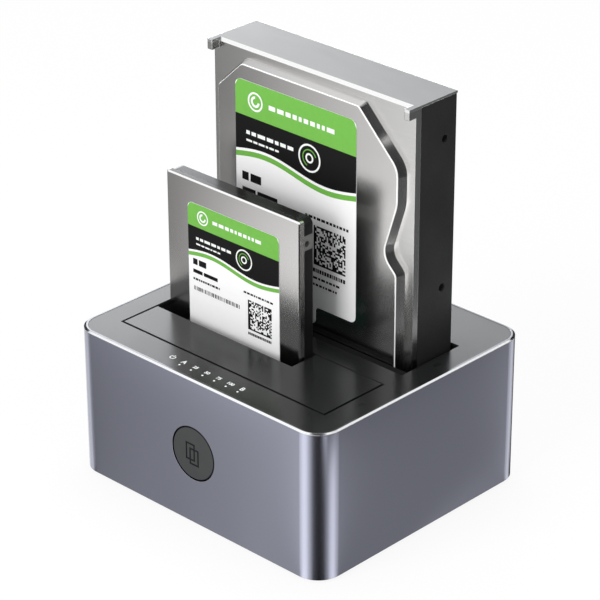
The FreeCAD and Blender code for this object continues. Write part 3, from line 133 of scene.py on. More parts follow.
def mixed(tree, factor, first, second):
    """Colour that goes from the first colour to the second as the factor goes from 0 to 1."""
    node = tree.nodes.new("ShaderNodeMix")
    node.data_type = "RGBA"
    tree.links.new(factor, node.inputs["Factor"])
    for socket, colour in ((node.inputs["A"], first), (node.inputs["B"], second)):
        if isinstance(colour, tuple):
            socket.default_value = (*colour, 1)
        else:
            tree.links.new(colour, socket)
    return node.outputs["Result"]


def axis_of(tree, axis):
    """One coordinate of the point being shaded, in metres."""
    node = tree.nodes.new("ShaderNodeSeparateXYZ")
    tree.links.new(place(tree), node.inputs["Vector"])
    return node.outputs[axis]


def past(tree, axis, start, stop):
    """0 up to start and 1 from stop on, both in millimetres along an axis."""
    return between(tree, axis_of(tree, axis), start * MM, stop * MM, 0.0, 1.0)


def stretch(tree, axis, rise, fall):
    """1 on a stretch of an axis and 0 outside it. Its two soft ends are spans in millimetres."""
    fading = between(tree, axis_of(tree, axis), fall[0] * MM, fall[1] * MM, 1.0, 0.0)
    return math_node(tree, "MULTIPLY", past(tree, axis, *rise), fading)


def shaded(tree, socket, value):
    """Link a value or colour to the shader's socket."""
    tree.links.new(value, tree.nodes["Principled BSDF"].inputs[socket])


def mottled(tree, scale, first, second):
    """Base colour that drifts between two colours in soft lumps."""
    shaded(tree, "Base Color", mixed(tree, noise(tree, scale), first, second))


def uneven(tree, scale, low, high):
    """Roughness that drifts between two levels in soft lumps."""
    shaded(tree, "Roughness", between(tree, noise(tree, scale), 0.3, 0.7, low, high))


def grain(tree, scale, depth, edge_mm=0.0):
    """Fine surface grain, depth in metres, on top of edges rounded by edge_mm."""
    bump = tree.nodes.new("ShaderNodeBump")
    bump.inputs["Distance"].default_value = depth
    bump.inputs["Strength"].default_value = 1.0
    tree.links.new(noise(tree, scale, 3.0), bump.inputs["Height"])
    if edge_mm > 0:
        bevel = tree.nodes.new("ShaderNodeBevel")
        bevel.samples = 6
        bevel.inputs["Radius"].default_value = edge_mm * MM
        tree.links.new(bevel.outputs["Normal"], bump.inputs["Normal"])
    shaded(tree, "Normal", bump.outputs["Normal"])


def soft_edges(tree, edge_mm):
    """Edges that look rounded by edge_mm, with no grain."""
    bevel = tree.nodes.new("ShaderNodeBevel")
    bevel.samples = 8
    bevel.inputs["Radius"].default_value = edge_mm * MM
    shaded(tree, "Normal", bevel.outputs["Normal"])


def clothe(material, *names):
    """Put a material on CAD nodes."""
    for name in names:
        piece = nodes[name]
        piece.data.materials.clear()
        piece.data.materials.append(material)
    print(material.name, "on", ", ".join(names))


# %% [markdown]
# ### The anodised sleeve
# The housing is one extruded aluminium sleeve, bead-blasted and anodised in a cool violet grey. Its top
# edge was cut afterwards with a diamond tool, which leaves a narrow bright bevel. Both finishes are
# metal, so one material can carry them: the height of the point decides which one shows. The flat rim
# inside the bevel is painted much darker than the sleeve, a painted shade that keeps it as dark as the lid.

# %% Sleeve
rim = shell_high[2]
sleeve, tree = finish("anodised_sleeve", (0.33, 0.34, 0.415), metallic=1.0)
bright = past(tree, "Z", rim - 0.61, rim - 0.56)
# painted shade: the flat top of the rim gets a dark colour, near the lid's tone
rim_painted_shade = past(tree, "Z", rim - 0.04, rim - 0.01)
tint = mixed(tree, noise(tree, 9.0), (0.315, 0.325, 0.40), (0.345, 0.355, 0.43))
banded = mixed(tree, bright, tint, (0.95, 0.96, 0.98))
shaded(tree, "Base Color", mixed(tree, rim_painted_shade, banded, (0.15, 0.152, 0.16)))
shaded(tree, "Roughness", between(tree, bright, 0.0, 1.0, 0.27, 0.16))
grain(tree, 5200.0, 0.0000016, 0.22)
clothe(sleeve, "outer_shell")

# %% [markdown]
# ### Lid and flaps
# The lid and both flaps share a smooth, nearly black coat. Seen from this low it mirrors what stands
# behind: a bright card at its open end, which makes it look light grey, and the drives elsewhere. What
# lies below the lid's face, inside the seams, is dull.

# %% Lid and flaps
lid, tree = finish("lid_coat", (0.014, 0.0145, 0.015), roughness=0.2, specular=0.4)
mottled(tree, 14.0, (0.012, 0.0125, 0.013), (0.017, 0.0175, 0.018))
on_face = past(tree, "Z", lid_top - 0.06, lid_top - 0.02)
gloss = between(tree, noise(tree, 40.0), 0.3, 0.7, 0.21, 0.25)
shaded(tree, "Roughness", math_node(tree, "ADD", gloss, between(tree, on_face, 0.0, 1.0, 0.6, 0.0)))
shaded(tree, "Specular IOR Level", between(tree, on_face, 0.0, 1.0, 0.03, 0.4))
grain(tree, 6000.0, 0.0000008, 0.2)
clothe(lid, "top_panel", "front_flap", "rear_flap")

# %% [markdown]
# ### Moulded plastics and rubber
# Hidden mouldings and the port panel are plain black with a spark-eroded grain. The rocker is glossier,
# as a switch that is touched has a polished mould. The feet are dull rubber. Only colour, gloss and
# grain tell them apart, so each is a few numbers.

# %% Plastics and rubber
black, tree = finish("moulded_black", (0.018, 0.018, 0.02), roughness=0.55)
mottled(tree, 30.0, (0.014, 0.014, 0.016), (0.024, 0.024, 0.027))
uneven(tree, 900.0, 0.48, 0.62)
grain(tree, 2600.0, 0.000012, 0.25)
clothe(black, "base_plate", "front_slot_well", "rear_slot_well", "rear_port_panel", "power_switch_body",
       "dc_jack", "usb_tongue", "front_sata_socket", "rear_sata_socket", "button_guide",
       "large_drive_plug", "small_drive_plug")

gloss_black, tree = finish("gloss_black", (0.012, 0.012, 0.013), roughness=0.2)
uneven(tree, 300.0, 0.16, 0.26)
grain(tree, 900.0, 0.000002, 0.3)
clothe(gloss_black, "power_rocker", "button_plunger", "button_switch")

rubber, tree = finish("foot_rubber", (0.02, 0.02, 0.02), roughness=0.8, specular=0.3)
mottled(tree, 400.0, (0.016, 0.016, 0.016), (0.03, 0.03, 0.029))
grain(tree, 1800.0, 0.00003)
clothe(rubber, "rubber_feet")

# %% [markdown]
# ### The button
# The cap is a satin dark grey, and its engraved symbol is filled with black. The engraving is real
# geometry, so paint only has to know how deep a point lies: all points below the cap's face are black,
# and so the cap's rim is black as well.

# %% Button cap
cap, tree = finish("button_cap", (0.055, 0.058, 0.058), metallic=0.6, roughness=0.36)
cap_face = corners_mm("clone_button")[0][1]
sunk = past(tree, "Y", cap_face + 0.04, cap_face + 0.08)
worn = mixed(tree, noise(tree, 120.0), (0.058, 0.061, 0.062), (0.072, 0.076, 0.077))
shaded(tree, "Base Color", mixed(tree, sunk, worn, (0.002, 0.002, 0.003)))
shaded(tree, "Metallic", between(tree, sunk, 0.0, 1.0, 0.6, 0.0))
shaded(tree, "Roughness", between(tree, sunk, 0.0, 1.0, 0.36, 0.8))
grain(tree, 5000.0, 0.0000015)
clothe(cap, "clone_button")

# %% [markdown]
# ### Steel
# Screws, pins and springs are zinc-plated: bright and slightly yellow. Plating is never even, so both
# its colour and its gloss drift over distances of a millimetre.

# %% Steel
steel, tree = finish("plated_steel", (0.62, 0.61, 0.58), metallic=1.0, roughness=0.3)
mottled(tree, 700.0, (0.55, 0.54, 0.51), (0.68, 0.67, 0.65))
uneven(tree, 1500.0, 0.22, 0.4)
grain(tree, 3000.0, 0.000003, 0.1)
clothe(steel, "base_screws", "well_screws", "small_board_screws", "main_board_screws", "front_hinge_pin",
       "rear_hinge_pin", "front_flap_spring", "rear_flap_spring", "usb_socket",
       "large_drive_board_screws", "small_drive_board_screws")

# %% [markdown]
# ### Circuit boards
# A board is green under a clear mask, with copper tracks that show as paler lines. Drawing each track
# would be lost on a hidden part, so a brick pattern with thin joints stands for them.

# %% Boards
def board_finish(name, mask, track, scale):
    """Solder mask with paler tracks: joints of a brick pattern stand for the copper lines."""
    made, board = finish(name, mask, roughness=0.32)
    bricks = board.nodes.new("ShaderNodeTexBrick")
    bricks.inputs["Scale"].default_value = scale
    bricks.inputs["Mortar Size"].default_value = 0.06
    bricks.inputs["Color1"].default_value = (*mask, 1)
    bricks.inputs["Color2"].default_value = (*[0.8 * c for c in mask], 1)
    bricks.inputs["Mortar"].default_value = (*track, 1)
    board.links.new(place(board), bricks.inputs["Vector"])
    shaded(board, "Base Color", bricks.outputs["Color"])
    grain(board, 1200.0, 0.000006)
    return made


main_green = board_finish("board_green", (0.012, 0.11, 0.045), (0.03, 0.2, 0.09), 260.0)
clothe(main_green, "main_board", "indicator_board", "button_board")
drive_green = board_finish("drive_board_green", (0.008, 0.075, 0.055), (0.02, 0.15, 0.11), 320.0)
clothe(drive_green, "large_drive_board", "small_drive_board")

# %% [markdown]
# ### Small electronics
# Chips are dull black, the ribbon is grey with fine wires side by side, the lamps are a yellowish
# clear resin, and the light pipes that carry their light up to the lid are nearly white.

# %% Small electronics
chips, tree = finish("chip_black", (0.02, 0.02, 0.022), roughness=0.5)
uneven(tree, 500.0, 0.4, 0.6)
grain(tree, 2500.0, 0.000005, 0.1)
clothe(chips, "board_chips", "board_capacitors")

ribbon, tree = finish("ribbon_grey", (0.5, 0.5, 0.48), roughness=0.5)
lines = tree.nodes.new("ShaderNodeTexWave")
lines.inputs["Scale"].default_value = 400.0
tree.links.new(place(tree), lines.inputs["Vector"])
shaded(tree, "Base Color", mixed(tree, lines.outputs["Fac"], (0.4, 0.4, 0.38), (0.62, 0.62, 0.6)))
clothe(ribbon, "front_ribbon", "switch_leads")

lamp, tree = finish("lamp_body", (0.8, 0.78, 0.62), roughness=0.3)
mottled(tree, 900.0, (0.75, 0.72, 0.55), (0.85, 0.84, 0.7))
clothe(lamp, "indicator_leds")

pipe, tree = finish("light_pipe", (0.93, 0.95, 0.97), roughness=0.25)
uneven(tree, 800.0, 0.2, 0.35)
clothe(pipe, "indicator_light_pipes")

# %% [markdown]
# ### Drive castings
# A drive is built on a black-coated aluminium casting. The coat is thin, so the casting's fine bumps
# show through. On the small drive a short stretch of the side is bare, where it is clamped for
# machining, and the end face is smoother.

# %% Castings
casting, tree = finish("casting_black", (0.022, 0.022, 0.023), roughness=0.42, specular=0.3)
mottled(tree, 60.0, (0.018, 0.018, 0.019), (0.03, 0.03, 0.031))
uneven(tree, 1500.0, 0.36, 0.5)
grain(tree, 2200.0, 0.000014, 0.25)
clothe(casting, "large_drive_base")

small_casting, tree = finish("small_casting", (0.008, 0.008, 0.008), roughness=0.4, specular=0.35)
bare_from, bare_height, fade = SMALL[2] + 88.0, 6.0, 0.1
bare_to = bare_from + bare_height
small_top = corners_mm("small_drive_base")[1][2]
bare = stretch(tree, "Z", (bare_from, bare_from + fade), (bare_to, bare_to + fade))
shaded(tree, "Base Color", mixed(tree, bare, (0.008, 0.008, 0.008), (0.16, 0.16, 0.155)))
shaded(tree, "Roughness", between(tree, past(tree, "Z", small_top - fade, small_top), 0.0, 1.0, 0.4, 0.2,
                                  "LINEAR"))
grain(tree, 2200.0, 0.000002, 0.2)
clothe(small_casting, "small_drive_base")

# %% [markdown]
# ### The machined deck
# The front of the large casting is milled flat and left bare, with the cutter's fine parallel marks: a
# noise that is stretched along two axes turns into such lines. Its upper edge has a narrow ground
# bevel, painted near white as a painted highlight, and the end face is smoother still.

# %% Machined deck
def top_bevel(tree, node, wide):
    """1 on the bevel along a node's upper edge, which starts wide mm below its top, 0 elsewhere."""
    top = corners_mm(node)[1][2]
    return stretch(tree, "Z", (top - wide, top - wide + 0.05), (top - 0.04, top - 0.01))


deck, tree = finish("machined_deck", (0.70, 0.695, 0.685), metallic=1.0, roughness=0.24)
marks = tree.nodes.new("ShaderNodeTexNoise")
marks.inputs["Scale"].default_value = 1.0
squeeze = tree.nodes.new("ShaderNodeMapping")
squeeze.inputs["Scale"].default_value = (60.0, 200.0, 2600.0)
tree.links.new(place(tree), squeeze.inputs["Vector"])
tree.links.new(squeeze.outputs["Vector"], marks.inputs["Vector"])
milled = mixed(tree, marks.outputs["Fac"], (0.66, 0.655, 0.645), (0.74, 0.735, 0.725))
# painted highlight: the bevel along the deck's upper edge is painted near white
edge = top_bevel(tree, "large_drive_frame", 1.2)
shaded(tree, "Base Color", mixed(tree, edge, milled, (0.98, 0.98, 0.98)))
deck_top = corners_mm("large_drive_frame")[1][2]
ground = past(tree, "Z", deck_top - 0.04, deck_top - 0.01)
shaded(tree, "Roughness", between(tree, ground, 0.0, 1.0, 0.24, 0.1, "LINEAR"))
grain(tree, 4000.0, 0.0000005, 0.3)
clothe(deck, "large_drive_frame")

# %% [markdown]
# ### The pressed covers
# Both covers are rolled sheet with a soft satin shine. The raised part of the large one has a rounded
# edge with a painted highlight: it is painted pale and only slightly metallic. It is found by depth: it
# starts just behind the cover's face. The small cover has a painted highlight, near white, on the bevel
# along its top, and a black crest, where the casting's coat laps over it.

# %% Covers
def rolled_sheet(name):
    """Satin sheet metal. Returns the material, its node tree and the sheet's own colour."""
    made, sheet = finish(name, (0.70, 0.69, 0.68), metallic=1.0, roughness=0.2)
    colour = mixed(sheet, noise(sheet, 25.0), (0.67, 0.66, 0.65), (0.73, 0.72, 0.71))
    soft_edges(sheet, 0.12)
    return made, sheet, colour


cover, tree, rolled = rolled_sheet("pressed_cover")
cover_face = corners_mm("large_drive_cover")[0][1]
# painted highlight: the rounded edge just behind the cover's face is painted pale
painted_edge_highlight = stretch(tree, "Y", (cover_face + 0.02, cover_face + 0.08), (cover_face + 0.30, cover_face + 0.42))
shaded(tree, "Base Color", mixed(tree, painted_edge_highlight, rolled, (0.95, 0.95, 0.94)))
shaded(tree, "Metallic", between(tree, painted_edge_highlight, 0.0, 1.0, 1.0, 0.15))
uneven(tree, 50.0, 0.19, 0.23)
clothe(cover, "large_drive_cover")

small_cover, tree, rolled = rolled_sheet("small_cover")
# painted highlight: the bevel along the small cover's top is painted near white
edge = top_bevel(tree, "small_drive_cover", 0.6)
crest = past(tree, "Z", small_top - 0.04, small_top - 0.01)
sheet_with_painted_highlight = mixed(tree, edge, rolled, (0.98, 0.98, 0.98))
shaded(tree, "Base Color", mixed(tree, crest, sheet_with_painted_highlight, (0.008, 0.008, 0.008)))
shaded(tree, "Metallic", between(tree, crest, 0.0, 1.0, 1.0, 0.0))
clothe(small_cover, "small_drive_cover")

# %% [markdown]
# ### Discs and head arms
# A disc is a near-perfect mirror. The arm that carries the heads is milled aluminium. Both are hidden
# inside the drives, but they are there when a drive is opened.

# %% Discs and arms
mirror, tree = finish("disc_mirror", (0.85, 0.85, 0.86), metallic=1.0, roughness=0.05)
uneven(tree, 90.0, 0.03, 0.08)
clothe(mirror, "large_drive_discs", "small_drive_disc")

arm, tree = finish("machined_arm", (0.6, 0.6, 0.6), metallic=1.0, roughness=0.35)
uneven(tree, 400.0, 0.28, 0.42)
clothe(arm, "large_drive_head_arm", "small_drive_head_arm")

# %% [markdown]
# ### Printed stock and inks
# A drive's label is coated paper under a clear film, white and slightly glossy. The inks are flat
# colours on it. Real print is never quite even, so each ink carries a faint mottle.

# %% Paper and inks
def ink(name, colour, spread=0.06, specular=0.2):
    """Printed colour that drifts by the share spread to both sides."""
    made, printed = finish(name, colour, roughness=0.36, specular=specular)
    mottled(printed, 500.0, tuple(c * (1 - spread) for c in colour),
            tuple(min(1.0, c * (1 + spread)) for c in colour))
    return made


paper = ink("label_paper", (0.92, 0.92, 0.92), 0.012)
green = ink("ink_green", (0.153, 0.43, 0.066))
dark = ink("ink_dark", (0.006, 0.006, 0.006), specular=0.12)
light = ink("ink_light", (0.82, 0.84, 0.82), 0.03)
legend = ink("legend_white", (0.85, 0.87, 0.88), 0.03)
clothe(paper, "large_drive_label", "small_drive_label")

# %% [markdown]
# ## Printed labels
# A print is a set of thin flat patches just in front of the paper. Two kinds are enough. A band lies
# between a lower and an upper curve, both given as functions of the way across, so it is a surface of
# two parameters. A block print is many small rectangles, built as one array with four corners each.
# Patches that lie over each other are a hair's breadth apart, or they would flicker.

# %% Pieces and grids
LAYER = 0.02
print("layers of print lie", LAYER, "mm apart")


def new_piece(name, points, faces, material, body):
    """Mesh object at the origin from points in millimetres, riding on a body."""
    mesh = bpy.data.meshes.new(name)
    mesh.from_pydata((np.asarray(points) * MM).tolist(), [], np.asarray(faces).tolist())
    mesh.update()
    mesh.materials.append(material)
    made = bpy.data.objects.new(name, mesh)
    bpy.context.scene.collection.objects.link(made)
    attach(made, body)
    return made


def grid_faces(rows, columns):
    """Four-cornered faces of a grid of rows by columns of points, row by row."""
    start = (np.arange(rows - 1)[:, None] * columns + np.arange(columns - 1)).ravel()
    return np.stack([start, start + 1, start + columns + 1, start + columns], axis=1)


# %% [markdown]
# A ring is a band bent round: its two parameters are the angle and the way from the inner to the outer
# radius. All three kinds share the grid of faces.

# %% Flat patches
def band(name, drive, left, right, lower, upper, material, body, layer=1, steps=49):
    """Patch between two curves on a drive's label, both functions of s.

    A point is x = left + s (right - left) and z = lower(s) + t (upper(s) - lower(s)), for s and t
    from 0 to 1, counted from the drive's middle line and lower end.
    """
    s = np.linspace(0.0, 1.0, steps)
    t = np.array([0.0, 1.0])[:, None]
    x = drive[0] + left + s * (right - left)
    z = drive[2] + lower(s) + t * (upper(s) - lower(s))
    y = np.full_like(z, drive[1] - layer * LAYER)
    points = np.stack([np.broadcast_to(x, z.shape), y, z], axis=-1).reshape(-1, 3)
    return new_piece(name, points, grid_faces(2, steps), material, body)


def blocks(name, drive, rectangles, material, body, layer=2):
    """Many rectangles in one mesh. Each row is left, right, lower, upper on the drive's label."""
    box = np.asarray(rectangles, float)
    x = drive[0] + box[:, [0, 1, 1, 0]]
    z = drive[2] + box[:, [2, 2, 3, 3]]
    y = np.full_like(z, drive[1] - layer * LAYER)
    points = np.stack([x, y, z], axis=-1).reshape(-1, 3)
    faces = np.arange(len(box) * 4).reshape(-1, 4)
    return new_piece(name, points, faces, material, body)


RING_STEPS = 61


def ring(name, drive, centre, inner, outer, material, body, layer=2, start=0.0, stop=360.0):
    """Flat ring or arc round a centre on the label.

    A point is the centre + r (cos a, sin a), for r from inner to outer and a from start to stop.
    """
    angle = np.radians(np.linspace(start, stop, RING_STEPS))
    radius = np.array([inner, outer])[:, None]
    x = drive[0] + centre[0] + radius * np.cos(angle)
    z = drive[2] + centre[1] + radius * np.sin(angle)
    points = np.stack([x, np.full_like(x, drive[1] - layer * LAYER), z], axis=-1).reshape(-1, 3)
    faces = grid_faces(2, RING_STEPS)[:, ::-1]
    return new_piece(name, points, faces, material, body)


# %% [markdown]
# Words on the real labels are left off. In their place stand rows of short bars, which read as small
# print from a distance. A row is made of word-like runs whose lengths come from a seeded random
# generator, so it is the same each time. A machine-readable square is a grid of cells that are filled
# or empty at random, framed by a solid edge on two sides.

# %% Small print and code square
def print_row(seed, left, right, lower, height, word=2.2, gap=0.7):
    """Rectangles of one row of small print: random word lengths with equal gaps."""
    lengths = np.random.default_rng(seed).uniform(0.5, 1.4, 40) * word
    stops = left + np.cumsum(lengths + gap) - gap
    starts = stops - lengths
    keep = stops <= right
    return [[a, b, lower, lower + height] for a, b in zip(starts[keep], stops[keep])]


def code_square(seed, left, lower, size, cells):
    """Rectangles of a square code: random cells inside, solid left and lower edge."""
    filled = np.random.default_rng(seed).random((cells, cells)) < 0.48
    filled[:, 0] = True
    filled[0, :] = True
    filled[-1, ::2] = True
    filled[::2, -1] = True
    row, column = np.nonzero(filled)
    step = size / cells
    x = left + column * step
    z = lower + row * step
    return np.stack([x, x + step * 1.02, z, z + step * 1.02], axis=1)


def bar_strip(seed, left, right, lower, height):
    """Rectangles of a bar code: random bar widths and gaps."""
    widths = np.random.default_rng(seed).choice([0.18, 0.32, 0.5], 160)
    edges = left + np.cumsum(widths)
    keep = edges < right
    edges = edges[keep][: len(edges[keep]) // 2 * 2].reshape(-1, 2)
    return [[a, b, lower, lower + height] for a, b in edges]


# %% [markdown]
# Both labels share one design: a green head, a dark wave below it with a green line under the wave, a
# ring with a hub as a plain sign for a disc, then small print, a strip of bars and a code square.

# %% Curves across a label
def rounded_top(width, top, radius):
    """Upper edge of a label with rounded corners, as a function of the way across.

    It is the top less the radius, plus the height of a quarter circle at each corner.
    """
    def edge(s):
        inset = np.minimum(s, 1 - s) * width
        short = np.clip(radius - inset, 0, radius)
        return top - radius + np.sqrt(radius ** 2 - short ** 2)
    return edge


def wave(level, swing):
    """Level line with one full gentle wave across the label."""
    return lambda s: level + swing * np.sin(2 * np.pi * s)


def flat(level):
    """Level line across the label."""
    return lambda s: level + 0 * s


# %% Label design
def print_label(tag, drive, body, left, right, top, radius, head, thick, swing, scale):
    """Head, wave, accent line, signs and bars of one label, head and thick being the heights of the
    green head and the dark wave, swing the wave's, and scale the size of all small marks."""
    band(tag + "_print_head", drive, left, right, flat(top - head), rounded_top(right - left, top, radius),
         green, body)
    low = wave(top - head - thick, swing)
    band(tag + "_print_wave", drive, left, right, low, flat(top - head), dark, body)
    under = wave(top - head - thick - 0.9 * scale, swing)
    line = wave(top - head - thick - 2.6 * scale, swing)
    band(tag + "_print_line", drive, left, right, line, under, green, body)
    middle = (left + 0.62 * (right - left), top - head - 0.52 * thick)
    ring(tag + "_sign_rim", drive, middle, 3.9 * scale, 4.5 * scale, light, body)
    ring(tag + "_sign_hub", drive, middle, 1.0 * scale, 1.6 * scale, light, body)
    ring(tag + "_sign_track", drive, middle, 2.5 * scale, 2.85 * scale, green, body, 2, 20, 250)
    words = print_row(3, left + 4.5 * scale, left + 25 * scale, top - head - 0.50 * thick, 1.2 * scale,
                      2.6 * scale, 0.7 * scale)
    words += print_row(4, left + 4.5 * scale, left + 19 * scale, top - head - 0.70 * thick, 0.7 * scale,
                       1.8 * scale, 0.5 * scale)
    blocks(tag + "_wave_words", drive, words, light, body)
    badge = (left + 8.4 * scale, top - 0.52 * head)
    ring(tag + "_badge_rim", drive, badge, 2.5 * scale, 3.1 * scale, light, body)
    ring(tag + "_badge_arc", drive, badge, 1.0 * scale, 1.8 * scale, light, body, 2, 90, 360)
    blocks(tag + "_head_words", drive,
           print_row(5, left + 14 * scale, right - 8 * scale, top - 0.60 * head, 1.5 * scale, 2.2 * scale,
                     0.8 * scale), light, body)


print_label("large", LARGE, "large_drive", left=-36.2, right=25.7, top=135.7, radius=3.0, head=14.2,
            thick=14.5, swing=2.2, scale=1.25)
print_label("small", SMALL, "small_drive", left=-23.4, right=24.6, top=91.0, radius=2.2, head=9.6,
            thick=10.5, swing=1.6, scale=0.95)
print("heads, waves and signs printed")

# %% [markdown]
# The white part of each label carries the small print. Every row is placed by its left end, its right
# end and its lower edge, in millimetres from the drive's middle line and lower end.

# %% Small print of both labels
large_print = [[-33.0, -29.6, 95.0, 98.4], [-28.6, -23.0, 95.0, 98.4], [-33.0, -26.0, 90.0, 92.0],
               [-25.0, -14.5, 90.0, 92.0]]
large_print += print_row(7, -33.0, -6.0, 85.6, 1.2, 1.3, 0.4)
large_print += print_row(8, 0.0, 22.5, 90.0, 1.1, 1.5, 0.5)
large_print += print_row(9, 4.0, 21.0, 68.2, 1.6, 0.8, 0.3)
large_print += print_row(10, 4.0, 20.0, 65.4, 0.9, 1.6, 0.5)
large_print += print_row(11, 4.0, 17.0, 62.6, 0.9, 1.4, 0.5)
blocks("large_small_print", LARGE, large_print, dark, "large_drive")
blocks("large_code_square", LARGE, code_square(21, 4.4, 71.4, 16.2, 22), dark, "large_drive")
blocks("large_bar_strip", LARGE, bar_strip(5, -33.0, -6.0, 80.4, 3.2), dark, "large_drive")
ring("large_stamp_rim", LARGE, (-2.0, 59.0), 3.2, 4.0, dark, "large_drive")
ring("large_stamp_hub", LARGE, (-2.0, 59.0), 1.2, 2.2, dark, "large_drive")

small_print = [[-21.0, -18.6, 65.4, 67.9], [-17.9, -13.9, 65.4, 67.9], [-21.0, -16.0, 61.9, 63.4],
               [-15.3, -7.8, 61.9, 63.4]]
small_print += print_row(12, -21.0, -6.0, 58.9, 0.9, 1.1, 0.35)
small_print += print_row(13, 6.0, 22.0, 62.4, 0.8, 1.1, 0.4)
small_print += print_row(14, 8.2, 21.0, 45.6, 1.1, 0.6, 0.2)
blocks("small_small_print", SMALL, small_print, dark, "small_drive")
blocks("small_code_square", SMALL, code_square(22, 8.2, 47.8, 12.4, 20), dark, "small_drive")
blocks("small_bar_strip", SMALL, bar_strip(6, -21.0, 4.0, 54.6, 1.7), dark, "small_drive")
print("small print:", len(large_print), "and", len(small_print), "bars")

# %% [markdown]
# ## Marks on the lid
# Each light pipe has a white legend behind it: A, four steps of progress and B, with a power sign
# before them. Letters start as Blender text, which is turned into a mesh before it is put in place.
# The power sign is an arc with a gap at the top and a short stroke, both flat patches.

# %% Legends
def lid_text(name, words, x, y, size):
    """Flat lettering on the lid, centred at (x, y) in millimetres."""
    curve = bpy.data.curves.new(name, "FONT")
    curve.body = words
    curve.size = size * MM
    curve.align_x = "CENTER"
    curve.align_y = "CENTER"
    curve.offset = 0.07 * MM
    typed = bpy.data.objects.new(name + "_typed", curve)
    bpy.context.scene.collection.objects.link(typed)
    bpy.context.view_layer.update()
    mesh = bpy.data.meshes.new_from_object(typed.evaluated_get(bpy.context.evaluated_depsgraph_get()))
    bpy.data.objects.remove(typed)
    mesh.transform(Matrix.Translation((x * MM, y * MM, (lid_top + LAYER) * MM)))
    mesh.materials.clear()
    mesh.materials.append(legend)
    made = bpy.data.objects.new(name, mesh)
    bpy.context.scene.collection.objects.link(made)
    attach(made, "dock")
    return made


def lid_patch(name, x, y, material):
    """Patch on the lid from two arrays of the same shape, rows by columns, in millimetres."""
    points = np.stack([x, y, np.full_like(x, lid_top + LAYER)], axis=-1).reshape(-1, 3)
    return new_piece(name, points, grid_faces(*x.shape), material, "dock")


# %% [markdown]
# The six lamps under the pipes give the legends their places: the first and the last lamp set the pitch,
# and the row stands a little behind them.

# %% Row of legends
LEGENDS = ("A", "25", "50", "75", "100", "B")
LAMP_HALF = 0.8
BEHIND_LAMPS = 2.5
low, high = corners_mm("indicator_leds")
first = low[0] + LAMP_HALF
pitch = (high[0] - low[0] - 2 * LAMP_HALF) / (len(LEGENDS) - 1)
row_y = (low[1] + high[1]) / 2 + BEHIND_LAMPS
for number, words in enumerate(LEGENDS):
    tall = 3.2 if len(words) == 1 else 2.25
    lid_text("legend_" + words, words, first + pitch * number, row_y, tall)

angle = np.radians(np.linspace(125, 415, 33))
radius = np.array([1.28, 0.92])[:, None]
power_x = first - pitch
lid_patch("legend_power_arc", power_x + radius * np.cos(angle), row_y + radius * np.sin(angle), legend)
stroke_x = power_x + np.array([[-0.18, 0.18], [-0.18, 0.18]])
stroke_y = row_y + np.array([[0.25, 0.25], [1.55, 1.55]])
lid_patch("legend_power_stroke", stroke_x, stroke_y, legend)
print("legends at x", np.round(first + pitch * np.arange(-1, 6), 2), "y", round(row_y, 2))

# %% [markdown]
# Beside each slot a small dark sign shows a drive: an outlined rectangle with a dot. The outline is four
# thin strips.

# %% Slot signs
def slot_sign(name, x, y):
    """Outlined rectangle 1.5 wide and 2.6 deep with a small square in it."""
    half, depth, line = 0.75, 1.3, 0.22
    dot = (-0.25, 0.25, 0.2, 0.7)
    edges = np.array([(-half, half, -depth, -depth + line), (-half, half, depth - line, depth),
                      (-half, -half + line, -depth, depth), (half - line, half, -depth, depth), dot])
    px = x + edges[:, [0, 1, 1, 0]]
    py = y + edges[:, [2, 2, 3, 3]]
    points = np.stack([px, py, np.full_like(px, lid_top + LAYER)], axis=-1).reshape(-1, 3)
    return new_piece(name, points, np.arange(4 * len(edges)).reshape(-1, 4), dark, "dock")


slot_sign("sign_front_slot", 57.7, -27.5)
slot_sign("sign_rear_slot", 57.4, 14.1)
print("slot signs made")

# %% [markdown]
# ## Studio
# Anodised metal has hardly any colour of its own: it shows what stands round it. Seen from above, the
# upright walls of the sleeve mirror the floor. In a studio, dark and bright cards would be laid on the
# table until the walls look right. Here one floor does it all: in reflections its brightness is
# graded, while the camera sees plain white.

# %% Floor piece
def floor_object(half=3.0):
    """Square floor at z = 0."""
    corners = [(-half, -half, 0), (half, -half, 0), (half, half, 0), (-half, half, 0)]
    mesh = bpy.data.meshes.new("floor")
    mesh.from_pydata(corners, [], [(0, 1, 2, 3)])
    made = bpy.data.objects.new("floor", mesh)
    bpy.context.scene.collection.objects.link(made)
    return made


floor = floor_object()
print("floor", [round(side, 1) for side in floor.dimensions[:2]], "m")

# %% [markdown]
# Two helpers lay out brightness. One turns a list of stops into a smooth curve with a colour ramp. A
# ramp ends at 1, so the stops are stored as quarters and multiplied back. The other fades from one
# brightness into another.

# %% Brightness helpers
STORED = 4.0


def graded(tree, factor, stops):
    """Brightness as a smooth function of the factor, through stops of (place, brightness up to 4)."""
    ramp = tree.nodes.new("ShaderNodeValToRGB")
    ramp.color_ramp.interpolation = "EASE"
    for _ in stops[2:]:
        ramp.color_ramp.elements.new(0.5)
    for element, (where, bright) in zip(ramp.color_ramp.elements, stops):
        element.position = where
        element.color = (bright / STORED, bright / STORED, bright / STORED, 1)
    tree.links.new(factor, ramp.inputs["Fac"])
    return math_node(tree, "MULTIPLY", ramp.outputs["Color"], STORED)


def blended(tree, factor, first, second):
    """Number that goes from first to second as the factor goes from 0 to 1."""
    node = tree.nodes.new("ShaderNodeMix")
    for socket, value in zip((node.inputs["Factor"], node.inputs["A"], node.inputs["B"]),
                             (factor, first, second)):
        if isinstance(value, (int, float)):
            socket.default_value = value
        else:
            tree.links.new(value, socket)
    return node.outputs["Result"]


# %% [markdown]
# A rounded corner squeezes a wide sweep of the floor into a narrow stripe. To paint a stripe where it
# is wanted on the corner, the floor has to know which part of the corner mirrors it. A ray that comes
# from the camera at one angle and leaves at another is turned about the corner's normal, so the normal
# lies half way between. The function works that out for each floor point.

# %% What a corner mirrors
RADIUS = 0.010


